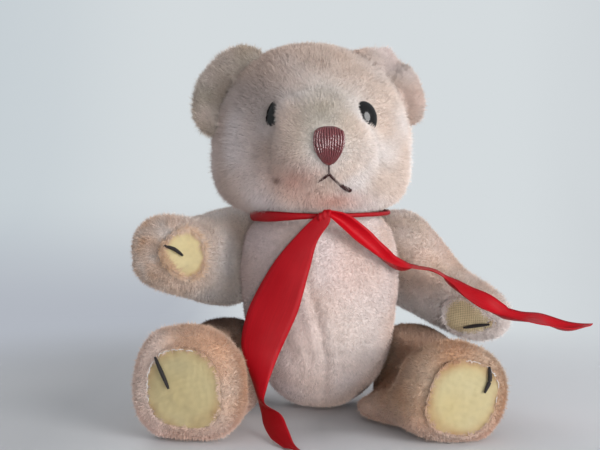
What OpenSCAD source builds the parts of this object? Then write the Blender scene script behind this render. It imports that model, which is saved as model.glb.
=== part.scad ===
// Threadbare five-way jointed teddy bear, seated, with a ribbon round its neck.
// Millimetres, +Z up. The bear faces -Y, so its right side is at -X.
// The origin is on the floor, in the middle of the flat seat, below the torso's axis.

/* [Torso] */
// Height of the torso from its seat to the neck
torso_h = 97; // [93:1:101]
// Width of the torso at its widest
torso_w = 79; // [76:1:82]
// Depth of the torso at the belly
torso_d = 72; // [69:1:75]
// Depth of the seam crease down the front
crease = 1.5; // [0.5:0.1:2]

/* [Head] */
// Width of the head across the cheeks
head_w = 98; // [94:1:102]
// Height of the head above the neck
head_h = 83; // [80:0.5:88]
// Depth of the head without the muzzle
head_d = 82; // [78:1:86]
// How far the muzzle stands out of the face
muzzle = 17; // [14:0.5:19]
// Turn of the head towards the bear's left
head_turn = 8; // [0:1:10]

/* [Ears] */
// Reach of an ear from its seam to its rim
ear_reach = 24; // [21:1:26]
// Height of an ear along its seam
ear_h = 50; // [45:1:52]
// Thickness of a stuffed ear
ear_t = 11; // [9:0.5:13]

/* [Arms] */
// Length of an arm from its joint to the paw's tip
arm_len = 73; // [72:1:80]
// Width of an arm at the shoulder
arm_w = 52; // [48:1:54]
// Thickness of an arm across its joint
arm_t = 34; // [31:1:37]
// Angle of the left arm below level
left_arm_drop = 24; // [20:1:26]

/* [Legs] */
// Length of a leg from its joint to the sole
leg_len = 88; // [84:1:92]
// Width of a foot
foot_w = 49; // [46:1:52]
// Height of a foot from its heel to the toes
foot_h = 51; // [48:1:54]

/* [Cloth] */
// Thickness of the plush with its worn pile
cloth_t = 2.2; // [1.8:0.1:2.6]
// Thickness of the woven pads
pad_t = 1.2; // [0.8:0.1:1.6]
// Thread of the claws
claw_d = 1.5; // [1.2:0.1:1.8]
// Thread of the mouth
mouth_d = 1.4; // [1.1:0.1:1.7]

/* [Face] */
// Diameter of an eye
eye_d = 9.6; // [8.5:0.1:11]
// Width of the stitched nose
nose_w = 14; // [12:0.5:15]
// Height of the stitched nose
nose_h = 17; // [15:0.5:18]

/* [Joints] */
// Diameter of the fibreboard joint discs
disc_d = 26; // [22:1:28]
// Thickness of the joint discs
disc_t = 2.4; // [2:0.1:2.8]
// Diameter of the cotter pins
pin_d = 2.4; // [2:0.1:2.6]
// Running clearance round a pin
fit = 0.06; // [0.04:0.01:0.09]
// Gap between two covers at a joint
gap = 0.5; // [0.4:0.1:0.8]

/* [Ribbon] */
// Width of the satin ribbon
ribbon_w = 18; // [16:1:19]
// Thickness of the ribbon
ribbon_t = 0.5; // [0.4:0.1:0.7]

/* [Hidden] */

plush = [0.72, 0.62, 0.57];
filling = [0.86, 0.83, 0.76];
weave = [0.83, 0.77, 0.52];
thread = [0.09, 0.07, 0.06];
board = [0.55, 0.42, 0.28];
steel = [0.62, 0.62, 0.64];
satin = [0.76, 0.08, 0.12];

sw = torso_w / 79;
sd = torso_d / 79;
sh = torso_h / 97;
washer_d = 11;
washer_t = 0.8;
hole_d = 4.4;
// Room past a disc for its washer and the curled pin
pin_room = 8;
// Ribbon band round the neck: its radius, height, and how far its foot is below the neck
band_r = 34 * sw;
band_h = 5;
band_low = 3.9;

// ---------- small helpers ----------
function sgn(x, p) = x < 0 ? -pow(-x, p) : pow(x, p);
function unit(v) = v / norm(v);
function lerp(a, b, t) = a + (b - a) * t;
// Value at x in a table of [x, value] rows, with straight runs between the rows
function at(tab, x, i = 0) =
  x <= tab[0][0] ? tab[0][1] :
  i >= len(tab) - 1 ? tab[len(tab) - 1][1] :
  x <= tab[i + 1][0]
    ? lerp(tab[i][1], tab[i + 1][1], (x - tab[i][0]) / (tab[i + 1][0] - tab[i][0]))
    : at(tab, x, i + 1);
function bump(x, w) = exp(-x * x / (2 * w * w));
// Moves a point out to the side of a plane that faces along n
function beyond(p, c, n, d) = let (s = (p - c) * n) s < d ? p + (d - s) * n : p;

// A closed skin over rings of equal count, with a pole at each end
module skin(rings, first, last) {
  m = len(rings);
  n = len(rings[0]);
  pts = concat([for (r = rings) for (p = r) p], [first, last]);
  sides = [for (i = [0 : m - 2]) for (j = [0 : n - 1]) let (k = (j + 1) % n)
    each [[i * n + j, i * n + k, (i + 1) * n + k],
          [i * n + j, (i + 1) * n + k, (i + 1) * n + j]]];
  low = [for (j = [0 : n - 1]) [m * n, (j + 1) % n, j]];
  top = [for (j = [0 : n - 1]) [m * n + 1, (m - 1) * n + j, (m - 1) * n + (j + 1) % n]];
  polyhedron(points = pts, faces = concat(sides, low, top), convexity = 8);
}

// A closed band over rings that run once round an axis
module hoop(rings) {
  m = len(rings);
  n = len(rings[0]);
  polyhedron(points = [for (r = rings) for (p = r) p], convexity = 8,
    faces = [for (i = [0 : m - 1]) for (j = [0 : n - 1]) let (k = (j + 1) % n, l = (i + 1) % m)
      each [[i * n + j, i * n + k, l * n + k], [i * n + j, l * n + k, l * n + j]]]);
}

// A round thread of diameter d through a list of points, with blunt ends
module strand(path, d, sides = 8) {
  n = len(path);
  function dir(i) = unit(path[min(i + 1, n - 1)] - path[max(i - 1, 0)]);
  function side(i) = unit(cross(dir(i), [0.13, 0.31, 0.94]));
  function ring(i, r) = let (t = dir(i), a = side(i), b = cross(t, a))
    [for (j = [0 : sides - 1]) let (q = -360 * j / sides) path[i] + r * (cos(q) * a + sin(q) * b)];
  rings = [for (i = [0 : n - 1]) ring(i, (i == 0 || i == n - 1) ? d * 0.34 : d / 2)];
  skin(rings, path[0] - dir(0) * d * 0.18, path[n - 1] + dir(n - 1) * d * 0.18);
}

// A cloth patch between two offsets of a surface; surf(u, v, lift) gives its points.
// The patch is round in its own u and v, with radius 1.
module patch(surf, low, high, rings = 2, spokes = 20) {
  function pt(k, j, h) = let (r = k / rings, a = 360 * j / spokes) surf(r * cos(a), r * sin(a), h);
  upper = [for (k = [1 : rings]) [for (j = [0 : spokes - 1]) pt(k, j, high)]];
  lower = [for (k = [rings : -1 : 1]) [for (j = [0 : spokes - 1]) pt(k, j, low)]];
  skin(concat(upper, lower), surf(0, 0, high), surf(0, 0, low));
}

// ---------- torso ----------
// Profile of the torso: height, half width. It is a bullet, flat at the seat and at the neck.
torso_profile = [
  [0, 10], [2.5, 15.5], [8, 23], [17, 30.3], [28, 35.6], [42, 38.6], [58, 39.5], [72, 39.5],
  [83, 38], [90, 35], [94.5, 31.2], [96.4, 28.5], [97, 26.6]
];
// The centre seam wanders from the bear's right at the chest to its left at the seat
function seam_at(z) = at([[0, 3], [28, 3], [45, -1], [67, -8], [97, -4]], z / sh);
function torso_point(i, n, z, inset) =
  let (a0 = 360 * i / n, a = a0 - 22 * sin(a0),
       r = at(torso_profile, z / sh) - inset,
       front = cos(a) > 0 ? 1 : 0,
       fold = bump(a > 180 ? a - 360 : a, 4) * crease * (z > 4 && z < 70 * sh ? 1 : 0.3),
       swell = front * bump(z / sh - 38, 20) * 1.5,
       q = [(r - fold) * sin(a) * sw, -(r - fold + swell) * cos(a) * sd - 0.5, z],
       t = seam_at(z) * (0.5 + 0.5 * cos(a)) * (inset > 0 ? 0 : 1))
  [q[0] * cos(t) - q[1] * sin(t) * 0.6, q[1], z];

// ---------- joints ----------
// Each joint: [point on the torso side's flat, outward axis]
shoulder_flare = 38;
hip_flare = 13;
hip_tilt = 12;
shoulder_z = 73 * sh;
shoulder_r = 35.2 * sw;
hip_r = 31.2 * sw;
hip_z = 32.5 * sh;
function shoulder_axis(s) = [s * cos(shoulder_flare), sin(shoulder_flare), 0];
function hip_axis(s) = [s * cos(hip_flare) * cos(hip_tilt), sin(hip_flare) * cos(hip_tilt), -sin(hip_tilt)];
function shoulder(s) = [[0, 0, shoulder_z] + shoulder_r * shoulder_axis(s), shoulder_axis(s)];
function hip(s) = [[0, 0, hip_z] + hip_r * hip_axis(s), hip_axis(s)];
neck = [[0, 0, torso_h], [0, 0, 1]];
joints = [neck, shoulder(-1), shoulder(1), hip(-1), hip(1)];
// Turns children so that +Z runs along a joint's axis, from its flat
module on_joint(j) {
  a = j[1];
  translate(j[0]) rotate([0, acos(a[2]), atan2(a[1], a[0])]) children();
}

function flats(p, inset) =
  let (f = [for (s = [-1, 1]) each [shoulder(s), hip(s)]])
  cut(cut(cut(cut(p, f[0], inset), f[1], inset), f[2], inset), f[3], inset);
function cut(p, j, inset) = let (s = (p - j[0]) * j[1]) s > -inset ? p - (s + inset) * j[1] : p;

module torso_form(n, inset, rows) {
  rings = [for (z = rows) [for (i = [0 : n - 1]) let (zz = lerp(inset, torso_h - inset, z / 97))
    flats(torso_point(-i, n, zz, inset * 1.05), inset)]];
  skin(rings, [0, 0, inset], [0, 0, torso_h - inset]);
}
outer_rows = [0, 2.5, 8, 17, 28, 36, 46, 58, 70, 80, 88, 94.5, 97];
inner_rows = [0, 8, 20, 38, 58, 76, 90, 97];
// Hollows in the torso's filling for the discs, washers and curled pins
module pockets() {
  for (j = joints) on_joint(j) translate([0, 0, -(cloth_t + disc_t + pin_room)])
    cylinder(d = disc_d * 1.04 + 0.6, h = disc_t + pin_room, $fn = 12);
}
module torso_cover() {
  color(plush) difference() {
    torso_form(40, 0, outer_rows);
    torso_form(18, cloth_t, inner_rows);
    pockets();
    for (j = joints) on_joint(j) cylinder(d = hole_d, h = 4 * cloth_t, center = true, $fn = 12);
  }
}
module torso_stuffing() {
  color(filling) difference() {
    torso_form(18, cloth_t + 0.02, inner_rows);
    pockets();
  }
}

// ---------- joint hardware ----------
module disc(z, d = disc_d, t = disc_t) {
  translate([0, 0, z]) difference() {
    cylinder(d = d, h = t, $fn = 64);
    translate([0, 0, -1]) cylinder(d = pin_d + 2 * fit, h = t + 2, $fn = 48);
  }
}
disc_in = -(cloth_t + 0.05 + disc_t);
disc_out = gap + cloth_t + 0.05;
module torso_discs() { color(board) for (j = joints) on_joint(j) disc(disc_in); }
module torso_washers() {
  color(steel) for (j = joints) on_joint(j) disc(disc_in - 0.05 - washer_t, washer_d, washer_t);
}
// A cotter pin: an eye in the limb, a shank through both discs, and two legs curled back
module joint_pins() {
  top = disc_out + disc_t + washer_t + 0.1;
  low = disc_in - washer_t - 0.1;
  r = 2.1;
  color(steel) for (j = joints) on_joint(j) {
    translate([0, 0, low - 0.4]) cylinder(d = pin_d, h = top - low + 0.8, $fn = 48);
    translate([0, 0, top]) cylinder(d = pin_d * 2, h = 0.8, $fn = 48);
    for (s = [0, 180]) rotate([0, 0, s]) translate([r + 0.15, 0, low - 0.4])
      rotate([-90, 0, 0]) rotate_extrude(angle = 180, $fn = 48) translate([r, 0])
        circle(d = pin_d * 0.5, $fn = 24);
    translate([0, 0, low - 0.4]) cylinder(d = pin_d * 1.9, h = 0.35, $fn = 48);
  }
}
module limb_disc(j) { color(board) on_joint(j) disc(disc_out); }
module limb_washer(j) { color(steel) on_joint(j) disc(disc_out + disc_t + 0.05, washer_d, washer_t); }
module limb_pocket(j) {
  on_joint(j) translate([0, 0, gap + cloth_t])
    cylinder(d = disc_d * 1.04 + 0.6, h = disc_t + 3.6, $fn = 12);
}
module limb_hole(j) {
  on_joint(j) translate([0, 0, -2]) cylinder(d = hole_d, h = 4 * cloth_t + 2, $fn = 12);
}

// ---------- head ----------
// The head is widest at its cheeks, domed above them and squarer below.
cheek_z = torso_h + 28.5;
head_top = torso_h + head_h;
head_x = -4.2;
function turn(p) = let (c = cos(head_turn), s = sin(head_turn))
  [head_x + p[0] * c - p[1] * s, p[0] * s + p[1] * c, p[2]];
// Distance from the cheek centre to the skin. az is 0 at the face and grows to the bear's left.
function head_r(az, el) =
  let (up = el >= 0, e = up ? 2.2 : 3.3, c = up ? head_top - cheek_z : 29.5,
       h = 1 / norm([sin(az) / (head_w / 2), cos(az) / (head_d / 2)]),
       base = 1 / pow(pow(cos(el) / h, e) + pow(abs(sin(el)) / c, e), 1 / e),
       m = pow(az / 31, 2) + pow((el - 5) / (el > 5 ? 29 : 24), 2),
       snout = muzzle * exp(-pow(m, 1.25) * 1.25),
       seam = 1.4 * exp(-pow((sqrt(m) - 1.33) / 0.13, 2)) * (el > -8 ? 1 : 0.4),
       chin = 1.6 * bump(el + 25, 6) * bump(az, 22),
       eyes = 1.5 * (bump(az - 33, 9) + bump(az + 33, 9)) * bump(el - 24, 10))
  base + snout - seam - chin - eyes;
function wrap(a) = a > 180 ? a - 360 : a < -180 ? a + 360 : a;
function head_point(az, el, lift) =
  let (r = head_r(wrap(az), el) + lift, p = [r * cos(el) * sin(az), -r * cos(el) * cos(az), cheek_z + r * sin(el)],
       q = turn(p), floor_z = torso_h + gap - min(lift, 0))
  [q[0], q[1], max(q[2], floor_z)];
// The head's stations round it are closer together at the face
function head_az(i, n) = let (a = -360 * i / n) a - 17 * sin(a);
module head_form(n, inset, rows) {
  rings = [for (el = rows) [for (i = [0 : n - 1]) head_point(head_az(i, n), el, -inset)]];
  skin(rings, [head_x, 0, torso_h + gap + inset], [head_x, 0, head_top - inset]);
}
head_n = 38;
head_rows = [-72, -56, -46, -38, -31, -24, -17, -10, -4, 2, 8, 14, 20, 26, 32, 39, 47, 57, 68, 79];
head_rows_in = [-70, -44, -24, -6, 10, 26, 44, 68];
module head_cover() {
  color(plush) difference() {
    head_form(head_n, 0, head_rows);
    head_form(18, cloth_t, head_rows_in);
    limb_pocket(neck);
    limb_hole(neck);
  }
}
module head_stuffing() {
  color(filling) difference() {
    head_form(18, cloth_t + 0.02, head_rows_in);
    limb_pocket(neck);
  }
}

// An ear is a cupped, stuffed pouch sewn along the side of the crown.
// s is -1 on the bear's right. flop bends the upper lobe forwards over a crease.
// place is the middle of the seam: out, forward and above the cheeks, then its lean.
function unturn(q) = let (c = cos(head_turn), v = sin(head_turn))
  [q[0] * c + q[1] * v, -q[0] * v + q[1] * c, q[2]];
function off_head(p, lift) =
  let (q = p - [head_x, 0, cheek_z], w = unturn(q),
       r = head_r(atan2(w[0], -w[1]), asin(w[2] / norm(w))) + lift)
  norm(q) < r ? [head_x, 0, cheek_z] + q * r / norm(q) : p;
function ramp(t) = let (c = min(1, max(0, t))) c * c * (3 - 2 * c);
function ear_point(s, a, b, flop, place, size) =
  let (mid = turn([s * place[0], -place[1], cheek_z + place[2]]), lean = place[3],
       out = turn([s * cos(lean), 0.03, sin(lean)]) - turn([0, 0, 0]),
       along = turn([-s * sin(lean), 0, cos(lean)]) - turn([0, 0, 0]),
       face = cross(along, out) * s,
       tip = size * (1 + 0.3 * flop * bump(a - 27, 11)),
       x = tip * ear_reach * (0.38 + 0.70 * cos(a) * cos(b)),
       y = tip * ear_h / 2 * sin(a) * cos(b),
       cup = 0.007 * y * y - 0.012 * max(0, x) * x,
       over = flop * ramp((y + 1) / 6) * ramp(x / 12),
       z = ear_t / 2 * sin(b) + 4 - cup + over * 6)
  off_head(mid + x * (1 - 0.16 * over) * out + (y - 2.5 * over) * along + z * face, 0.3);
module ear(s, flop, place, size) {
  color(plush) skin([for (b = [-64, -36, -12, 12, 36, 64]) [for (i = [0 : 21])
    ear_point(s, s * 360 * i / 22, b, flop, place, size)]],
    ear_point(s, 0, -90, flop, place, size), ear_point(s, 0, 90, flop, place, size));
}
module right_ear() { ear(-1, 0, [32.5, 8, 25.5, 31], 1); }
module left_ear() { ear(1, 1, [29.5, 11, 29.5, 37], 1); }

// A block of the head from its skin inwards, round station i and between two rows
module head_block(i, low, high) {
  near = [for (k = [i - 3 : i + 3]) head_az(k, head_n)];
  rings = [for (r = [low : high]) concat(
    [for (a = near) head_point(a, head_rows[r], 0)],
    [for (k = [6 : -1 : 0]) head_point(near[k], head_rows[r], -9)])];
  skin(rings, head_point(near[3], head_rows[low], -5), head_point(near[3], head_rows[high], -5));
}
// A domed eye, its back moulded to the face. i is the station of the head that it sits on.
module eye(az, el, i) {
  p = head_point(az, el, 0);
  n = unit(head_point(az, el, 8) - p);
  color([0.03, 0.025, 0.02]) difference() {
    translate(p) rotate([0, acos(n[2]), atan2(n[1], n[0])]) rotate_extrude($fn = 32)
      polygon(concat([[0, -2.5], [eye_d / 2, -2.5]],
        [for (i = [0 : 9]) [eye_d / 2 * cos(i * 10), 0.4 + eye_d * 0.34 * sin(i * 10)]]));
    head_block(i, 9, 15);
  }
}
eye_el = 22;
module right_eye() { eye(-35, eye_el, 5); }
module left_eye() { eye(31, eye_el, -5); }

// The nose is satin stitch: raised bundles of thread side by side in a shield shape
nose_el = 1.8;
function nose_surf(u, v, lift) =
  let (half = v > 0 ? 1 : pow(max(0, 1 - v * v), 0.42),
       x = u * nose_w / 2 * (v > 0 ? 0.9 + 0.1 * cos(v * 90) : half),
       z = v * nose_h / 2 + (v > 0 ? 0.6 * (1 - abs(u)) : 0),
       k = 57.3 / 58, nose_az = -1.3, dome = lift > 0.5 ? 1.9 * (1 - u * u * 0.75 - v * v * 0.5) + 0.28 * cos(u * 5 * 180) : 0)
  head_point(x * k + nose_az, nose_el + z * k, lift + dome);
module nose_stitches() {
  n = 20;
  m = 6;
  function row(h, k) = [for (i = [0 : n]) nose_surf(-1 + 2 * i / n, k, h)];
  vs = [for (j = [0 : m]) -0.97 + 1.94 * j / m];
  pts = concat([for (v = vs) each row(1.1, v)], [for (v = vs) each row(0.15, v)]);
  w = n + 1;
  o = w * (m + 1);
  front = [for (j = [0 : m - 1]) for (i = [0 : n - 1]) each
    [[j * w + i, (j + 1) * w + i + 1, j * w + i + 1], [j * w + i, (j + 1) * w + i, (j + 1) * w + i + 1]]];
  back = [for (f = front) [f[0] + o, f[2] + o, f[1] + o]];
  loop = concat([for (i = [0 : n - 1]) i], [for (j = [0 : m - 1]) j * w + n],
    [for (i = [n : -1 : 1]) m * w + i], [for (j = [m : -1 : 1]) j * w]);
  edge = [for (i = [0 : len(loop) - 1]) let (a = loop[i], b = loop[(i + 1) % len(loop)]) each
    [[a, b, b + o], [a, b + o, a + o]]];
  color([0.32, 0.13, 0.11]) polyhedron(points = pts, faces = concat(front, back, edge), convexity = 4);
}
module mouth_stitches() {
  function m(x, z) = head_point(x * 0.99, nose_el + (z - 0) * 0.99, mouth_d / 2 + 0.35);
  color(thread) {
    strand([for (t = [0 : 0.25 : 1]) m(lerp(-1.4, -7.2, t), -11.6 - 4 * t)], mouth_d);
    strand([for (t = [0 : 0.2 : 1]) m(-0.2 + lerp(0, 10.5, t), -12.1 - 8.6 * t + 1.4 * t * t)], mouth_d);
  }
}

// ---------- limbs ----------
// A limb is a loft of sections along d. Each row: distance, inner, outer, up and down reach.
// quad() joins the four reaches into one rounded section.
function quad(row, a, e, inset) =
  [sgn(cos(a), 2 / e) * max(0.6, (cos(a) > 0 ? row[2] : row[1]) - inset),
   sgn(sin(a), 2 / e) * max(0.6, (sin(a) > 0 ? row[3] : row[4]) - inset)];
function corner(a, e, low_in) = cos(a) < 0 && sin(a) < 0 ? low_in : e;
function rows_at(rows, u) = [for (k = [0 : 4]) at([for (r = rows) [r[0], r[k]]], u)];

// The left arm is bent outwards over the leg
function arm_bend(drop, u) = drop > 0 ? 10 * pow(max(0, u - 8) / 66, 1.4) : 0;
// Arms: x across the joint, y along the arm, z up, before the arm is lowered about its joint
arm_rows = [
  [-26, 3, 3, 3, 3], [-25, 7, 7, 9, 9], [-21.5, 11.5, 12, 15, 15], [-15, 15, 15.5, 20.5, 21],
  [-6, 17, 17, 25, 25], [6, 17.5, 17.5, 26, 26.5], [18, 17.5, 17.5, 24.5, 26], [30, 17.3, 17, 21.5, 24.5],
  [42, 17, 16.5, 18.5, 22], [53, 16.5, 16, 18.5, 20.5], [63, 15.5, 15.5, 18.5, 18.5],
  [71, 13, 13, 15.5, 15.5], [76.5, 8.6, 9.4, 10.5, 10.5], [79.2, 4, 5, 5.5, 5.5]
];
function arm_point(s, drop, u, a, lift) =
  let (j = shoulder(s), n = j[1], d = [s * sin(shoulder_flare), -cos(shoulder_flare), 0],
       k = arm_len / 80, row = rows_at(arm_rows, u / k),
       thin = drop == 0 ? (sin(a) > 0 ? 1 : 0.93) : sin(a) > 0 ? at([[0, 0.98], [20, 0.84], [36, 0.66], [62, 0.64], [76, 0.84]], u)
         : at([[-10, 0.97], [10, 0.91], [28, 0.85], [60, 0.88], [76, 1]], u),
       q = quad(row, a, 2.25, -lift), c = j[0] + (gap + arm_t / 2) * n,
       x = q[0] * arm_t / 34, z = q[1] * thin * arm_w / 52,
       dz = (drop > 0 ? -0.2 : 1) * at([[-26, 0], [20, 0], [55, 5], [80, 7.5]], u),
       raw = c + u * d + (x + arm_bend(drop, u)) * n + [0, 0, z + dz],
       flat = beyond(raw, j[0], n, gap - min(lift, 0) - max(0, u - 42) * 0.5),
       rel = flat - j[0], side = rel * d, up = rel[2], out = rel * n,
       co = cos(drop), si = sin(drop))
  j[0] + out * n + (side * co + up * si) * d + [0, 0, up * co - side * si];
module arm_form(s, drop, n, inset, us) {
  k = arm_len / 80;
  lo = -26 * k + inset;
  hi = arm_len - inset;
  rings = [for (u = us) [for (i = [0 : n - 1]) arm_point(s, drop, lerp(lo, hi, u), -s * 360 * i / n, -inset)]];
  skin(rings, arm_mid(s, drop, lo - 0.4), arm_mid(s, drop, hi));
}
function arm_mid(s, drop, u) =
  let (a = arm_point(s, drop, u, 0, 0), b = arm_point(s, drop, u, 180, 0)) (a + b) / 2;
arm_us = [0.004, 0.04, 0.10, 0.19, 0.30, 0.41, 0.52, 0.63, 0.74, 0.84, 0.91, 0.965, 0.992];
arm_us_in = [0.01, 0.12, 0.28, 0.46, 0.64, 0.82, 0.94];
module arm_cover(s, drop) {
  color(plush) difference() {
    arm_form(s, drop, 24, 0, arm_us);
    arm_form(s, drop, 12, cloth_t, arm_us_in);
    limb_pocket(shoulder(s));
    limb_hole(shoulder(s));
  }
}
module arm_stuffing(s, drop) {
  color(filling) difference() {
    arm_form(s, drop, 12, cloth_t + 0.02, arm_us_in);
    limb_pocket(shoulder(s));
  }
}
// The paw pad lies on the inner side of the paw, near its tip: [middle, half length, angle]
function paw_place(drop) = drop > 0 ? [68.5, 11.5, 178] : [64, 12.6, 182];
function paw_surf(s, drop) = function (u, v, lift)
  let (w = paw_place(drop), t = w[0] + w[1] * u - 2 * v * v)
  arm_point(s, drop, t * arm_len / 80, w[2] + v * 38, lift);
module paw_pad(s, drop) {
  f = paw_surf(s, drop);
  color(weave) if (s < 0) patch(f, 0.65, pad_t + 0.5, 3);
  else patch(function (u, v, l) f(u, -v, l), 0.9, pad_t + 0.7, 3);
}
module paw_claw(s, drop) {
  f = paw_surf(s, drop);
  tip = drop > 0 ? [0.85, 0] : [0.92, -0.31];
  end = drop > 0 ? [0.18, 0.42] : [0.24, 0.02];
  rise = pad_t + claw_d / 2 + (s < 0 ? 0.9 : 1.5);
  color(thread) strand([for (t = [0 : 0.25 : 1]) let (q = lerp(tip, end, t)) f(q[0], q[1], rise)], claw_d);
}

// Legs: sections across the leg, with the sole at the far end
leg_rows = [
  [-20, 3, 3, 3, 3], [-19, 7, 8, 8, 8], [-15.5, 12, 12.5, 13, 13.5], [-9, 17, 16.5, 17.5, 18.5],
  [0, 22, 18.5, 20, 21.5], [12, 27, 19.5, 21, 22.5], [26, 29, 20, 21, 22.5], [40, 27.5, 20, 20.5, 22.5],
  [54, 24, 20, 20.5, 22], [64, 22.5, 22, 23.5, 22], [72, 23, 24, 27.5, 22.5],
  [80, 23, 24.5, 28.8, 22.5], [85.5, 20.5, 22, 26.3, 20.5], [88, 17.5, 18.5, 22.5, 17.5]
];
leg_z = 22.5;
// The right foot is turned in further; the left foot is rolled outwards and is lower
function bend(s) = s < 0 ? 8 : 8;
function roll(s) = s < 0 ? 0 : 16;
function leg_base(s) =
  let (j = hip(s), c = j[0] + (gap + 17.5) * j[1]) [c[0], c[1], leg_z];
function leg_dir(s) = [s * sin(hip_flare), -cos(hip_flare), 0];
function leg_mid(s, u) =
  let (t = max(0, u - 8) / 80, in = bend(s) * (1.6 * t - 0.6 * t * t), low = s > 0 ? 2 * t : 0)
  leg_base(s) + u * leg_dir(s) - in * [s * cos(hip_flare), sin(hip_flare), 0] - [0, 0, low];
function leg_point(s, u, a, lift) =
  let (j = hip(s), d = leg_dir(s), m = [s * cos(hip_flare), sin(hip_flare), 0],
       k = leg_len / 88, row = rows_at(leg_rows, u / k),
       press = s > 0 && sin(a) > 0 ? at([[-20, 0.95], [-5, 0.88], [10, 0.76], [50, 0.74], [72, 0.8]], u) : 1,
       low = s > 0 ? bump(u - 38, 20) * max(0, min(1, -2.2 * sin(a))) : 0,
       spread = cos(a) < 0 ? 1 + 0.42 * low : 1,
       q0 = quad(row, a, corner(a, 2.3, lerp(2.9, 3.3, low)), -lift),
       q = [q0[0] * spread, q0[1] * (1 + 0.1 * low)],
       foot = at([[-20, 0], [50, 0], [74, 1], [88, 1]], u / k),
       fz = lerp(1, foot_h / 51, foot) * press, fw = lerp(1, foot_w / 49, foot),
       r = roll(s) * foot, x = q[0] * fw, z = q[1] * fz,
       raw = leg_mid(s, u) + (x * cos(r) + z * sin(r)) * m + [0, 0, z * cos(r) - x * sin(r)],
       ease = max(0, u - 50) * 0.9 + low * max(0, u - 6) * 0.85,
       flat = beyond(raw, j[0], j[1], gap - min(lift, 0) - ease))
  [flat[0], flat[1], max(flat[2], -min(lift, 0))];
// The sole: a shallow dome over the last section, in polar form
function sole_point(s, r, a, lift) =
  let (rim = leg_point(s, leg_len, a, 0), c = leg_mid(s, leg_len) + [0, 0, 1.5])
  lerp(c, rim, r) + leg_dir(s) * ((1 - r * r) * 2.2 + lift);
module leg_form(s, n, inset, us) {
  k = leg_len / 88;
  lo = -20 * k + inset;
  hi = leg_len - inset;
  rings = [for (u = us) [for (i = [0 : n - 1]) leg_point(s, lerp(lo, hi, u), -s * 360 * i / n, -inset)]];
  dome = inset > 0 ? [] :
    [for (r = [0.84, 0.55]) [for (i = [0 : n - 1]) sole_point(s, r, -s * 360 * i / n, 0)]];
  first = leg_mid(s, lo - 0.5);
  skin(concat(rings, dome), beyond(first, hip(s)[0], hip(s)[1], gap + inset),
    inset > 0 ? leg_mid(s, hi + 0.3) : sole_point(s, 0, 0, 0));
}
leg_us = [0.003, 0.04, 0.10, 0.19, 0.30, 0.43, 0.56, 0.68, 0.78, 0.86, 0.93, 0.975, 1];
leg_us_in = [0.01, 0.12, 0.28, 0.46, 0.64, 0.80, 0.92, 1];
module leg_cover(s) {
  color(plush) difference() {
    leg_form(s, 26, 0, leg_us);
    leg_form(s, 13, cloth_t, leg_us_in);
    limb_pocket(hip(s));
    limb_hole(hip(s));
  }
}
module leg_stuffing(s) {
  color(filling) difference() {
    leg_form(s, 13, cloth_t + 0.02, leg_us_in);
    limb_pocket(hip(s));
  }
}
// The sole pad: an egg with its blunt corner up and out
function foot_surf(s) = function (u, v, lift)
  let (a = atan2(v, u), tall = s < 0 ? 0.04 : -0.04, blunt = s < 0 ? 50 : 66,
       r = min(0.97, norm([u, v])) * (0.93 + tall * cos(2 * a) + 0.04 * bump(a - blunt, 22)))
  sole_point(s, r, a, lift);
module foot_pad(s) {
  f = foot_surf(s);
  color(weave) if (s > 0) patch(function (u, v, l) f(v, u, l), 0.2, pad_t + 0.2, 3);
  else patch(f, 0.2, pad_t + 0.2, 3);
}
module foot_claw(s, bent) {
  f = foot_surf(s);
  pts = bent ? [[0.3, 0.95], [0.44, 0.86], [0.48, 0.58], [0.48, 0.24]]
    : [[0.7, 0.7], [0.57, 0.48], [0.45, 0.27], [0.34, 0.06]];
  color(thread) strand([for (p = pts) f(p[0], p[1], pad_t + claw_d / 2 + 0.5)], claw_d);
}

// ---------- ribbon ----------
// One length of satin: round the neck, tied in front, with two tails. Stations are two edges.
tail_right = [
  [[-9, -41.4, 93.4], [-1, -42.6, 88.8]], [[-11, -41, 90], [-2, -42, 86]], [[-21, -39, 80], [-4, -41, 76]],
  [[-30, -37, 62], [-12, -41, 55]], [[-35, -36, 49], [-18, -39, 42]], [[-37, -37, 35], [-21, -40, 31]],
  [[-33, -40, 23], [-25, -48, 19]], [[-30.5, -44, 16], [-25, -58, 14]], [[-27, -55, 9], [-17.5, -67, 10]],
  [[-26, -63, 4], [-13.5, -75, 4.5]], [[-22, -73, 1], [-11, -85, 1]], [[-17, -83, 0.5], [-7, -94, 0.5]]
];
tail_left = [
  [[9.6, -37.4, 97.5], [8.9, -43.4, 91]], [[13, -36, 97], [10.5, -45, 90]], [[27.5, -28, 85], [20.5, -41, 81]],
  [[38.5, -14, 75.5], [36, -30, 72.5]], [[51, -3, 70.8], [49.5, -20, 69.5]], [[63, -8.5, 67.2], [60.5, -20, 65.6]],
  [[75, -16, 62.6], [66.5, -32, 59.4]], [[81, -26, 58], [76, -42, 53.6]], [[87.5, -30, 53.4], [84, -46, 50.2]],
  [[101, -31, 51], [100, -47, 47.4]], [[114, -34, 49], [113, -48, 45.6]], [[124.5, -39, 47.5], [122, -47, 45.5]]
];
function on_torso(p) = [p[0] * sw, p[1] * torso_d / 72, p[2] * sh];
function widened(st) =
  let (m = on_torso(st[0] + st[1]) / 2, h = (st[1] - st[0]) / 2 * ribbon_w / 18) [m - h, m + h];
module strip(st) {
  n = len(st);
  w = [for (q = st) widened(q)];
  function face(i) = let (a = w[max(i - 1, 0)], b = w[min(i + 1, n - 1)])
    unit(cross(b[0] + b[1] - a[0] - a[1], w[i][1] - w[i][0]));
  rings = [for (i = [0 : n - 1]) let (f = face(i) * ribbon_t / 2, l = w[i][0], r = w[i][1])
    [l + f, r + f, r - f, l - f]];
  skin(rings, (w[0][0] + w[0][1]) / 2, (w[n - 1][0] + w[n - 1][1]) / 2);
}
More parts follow.
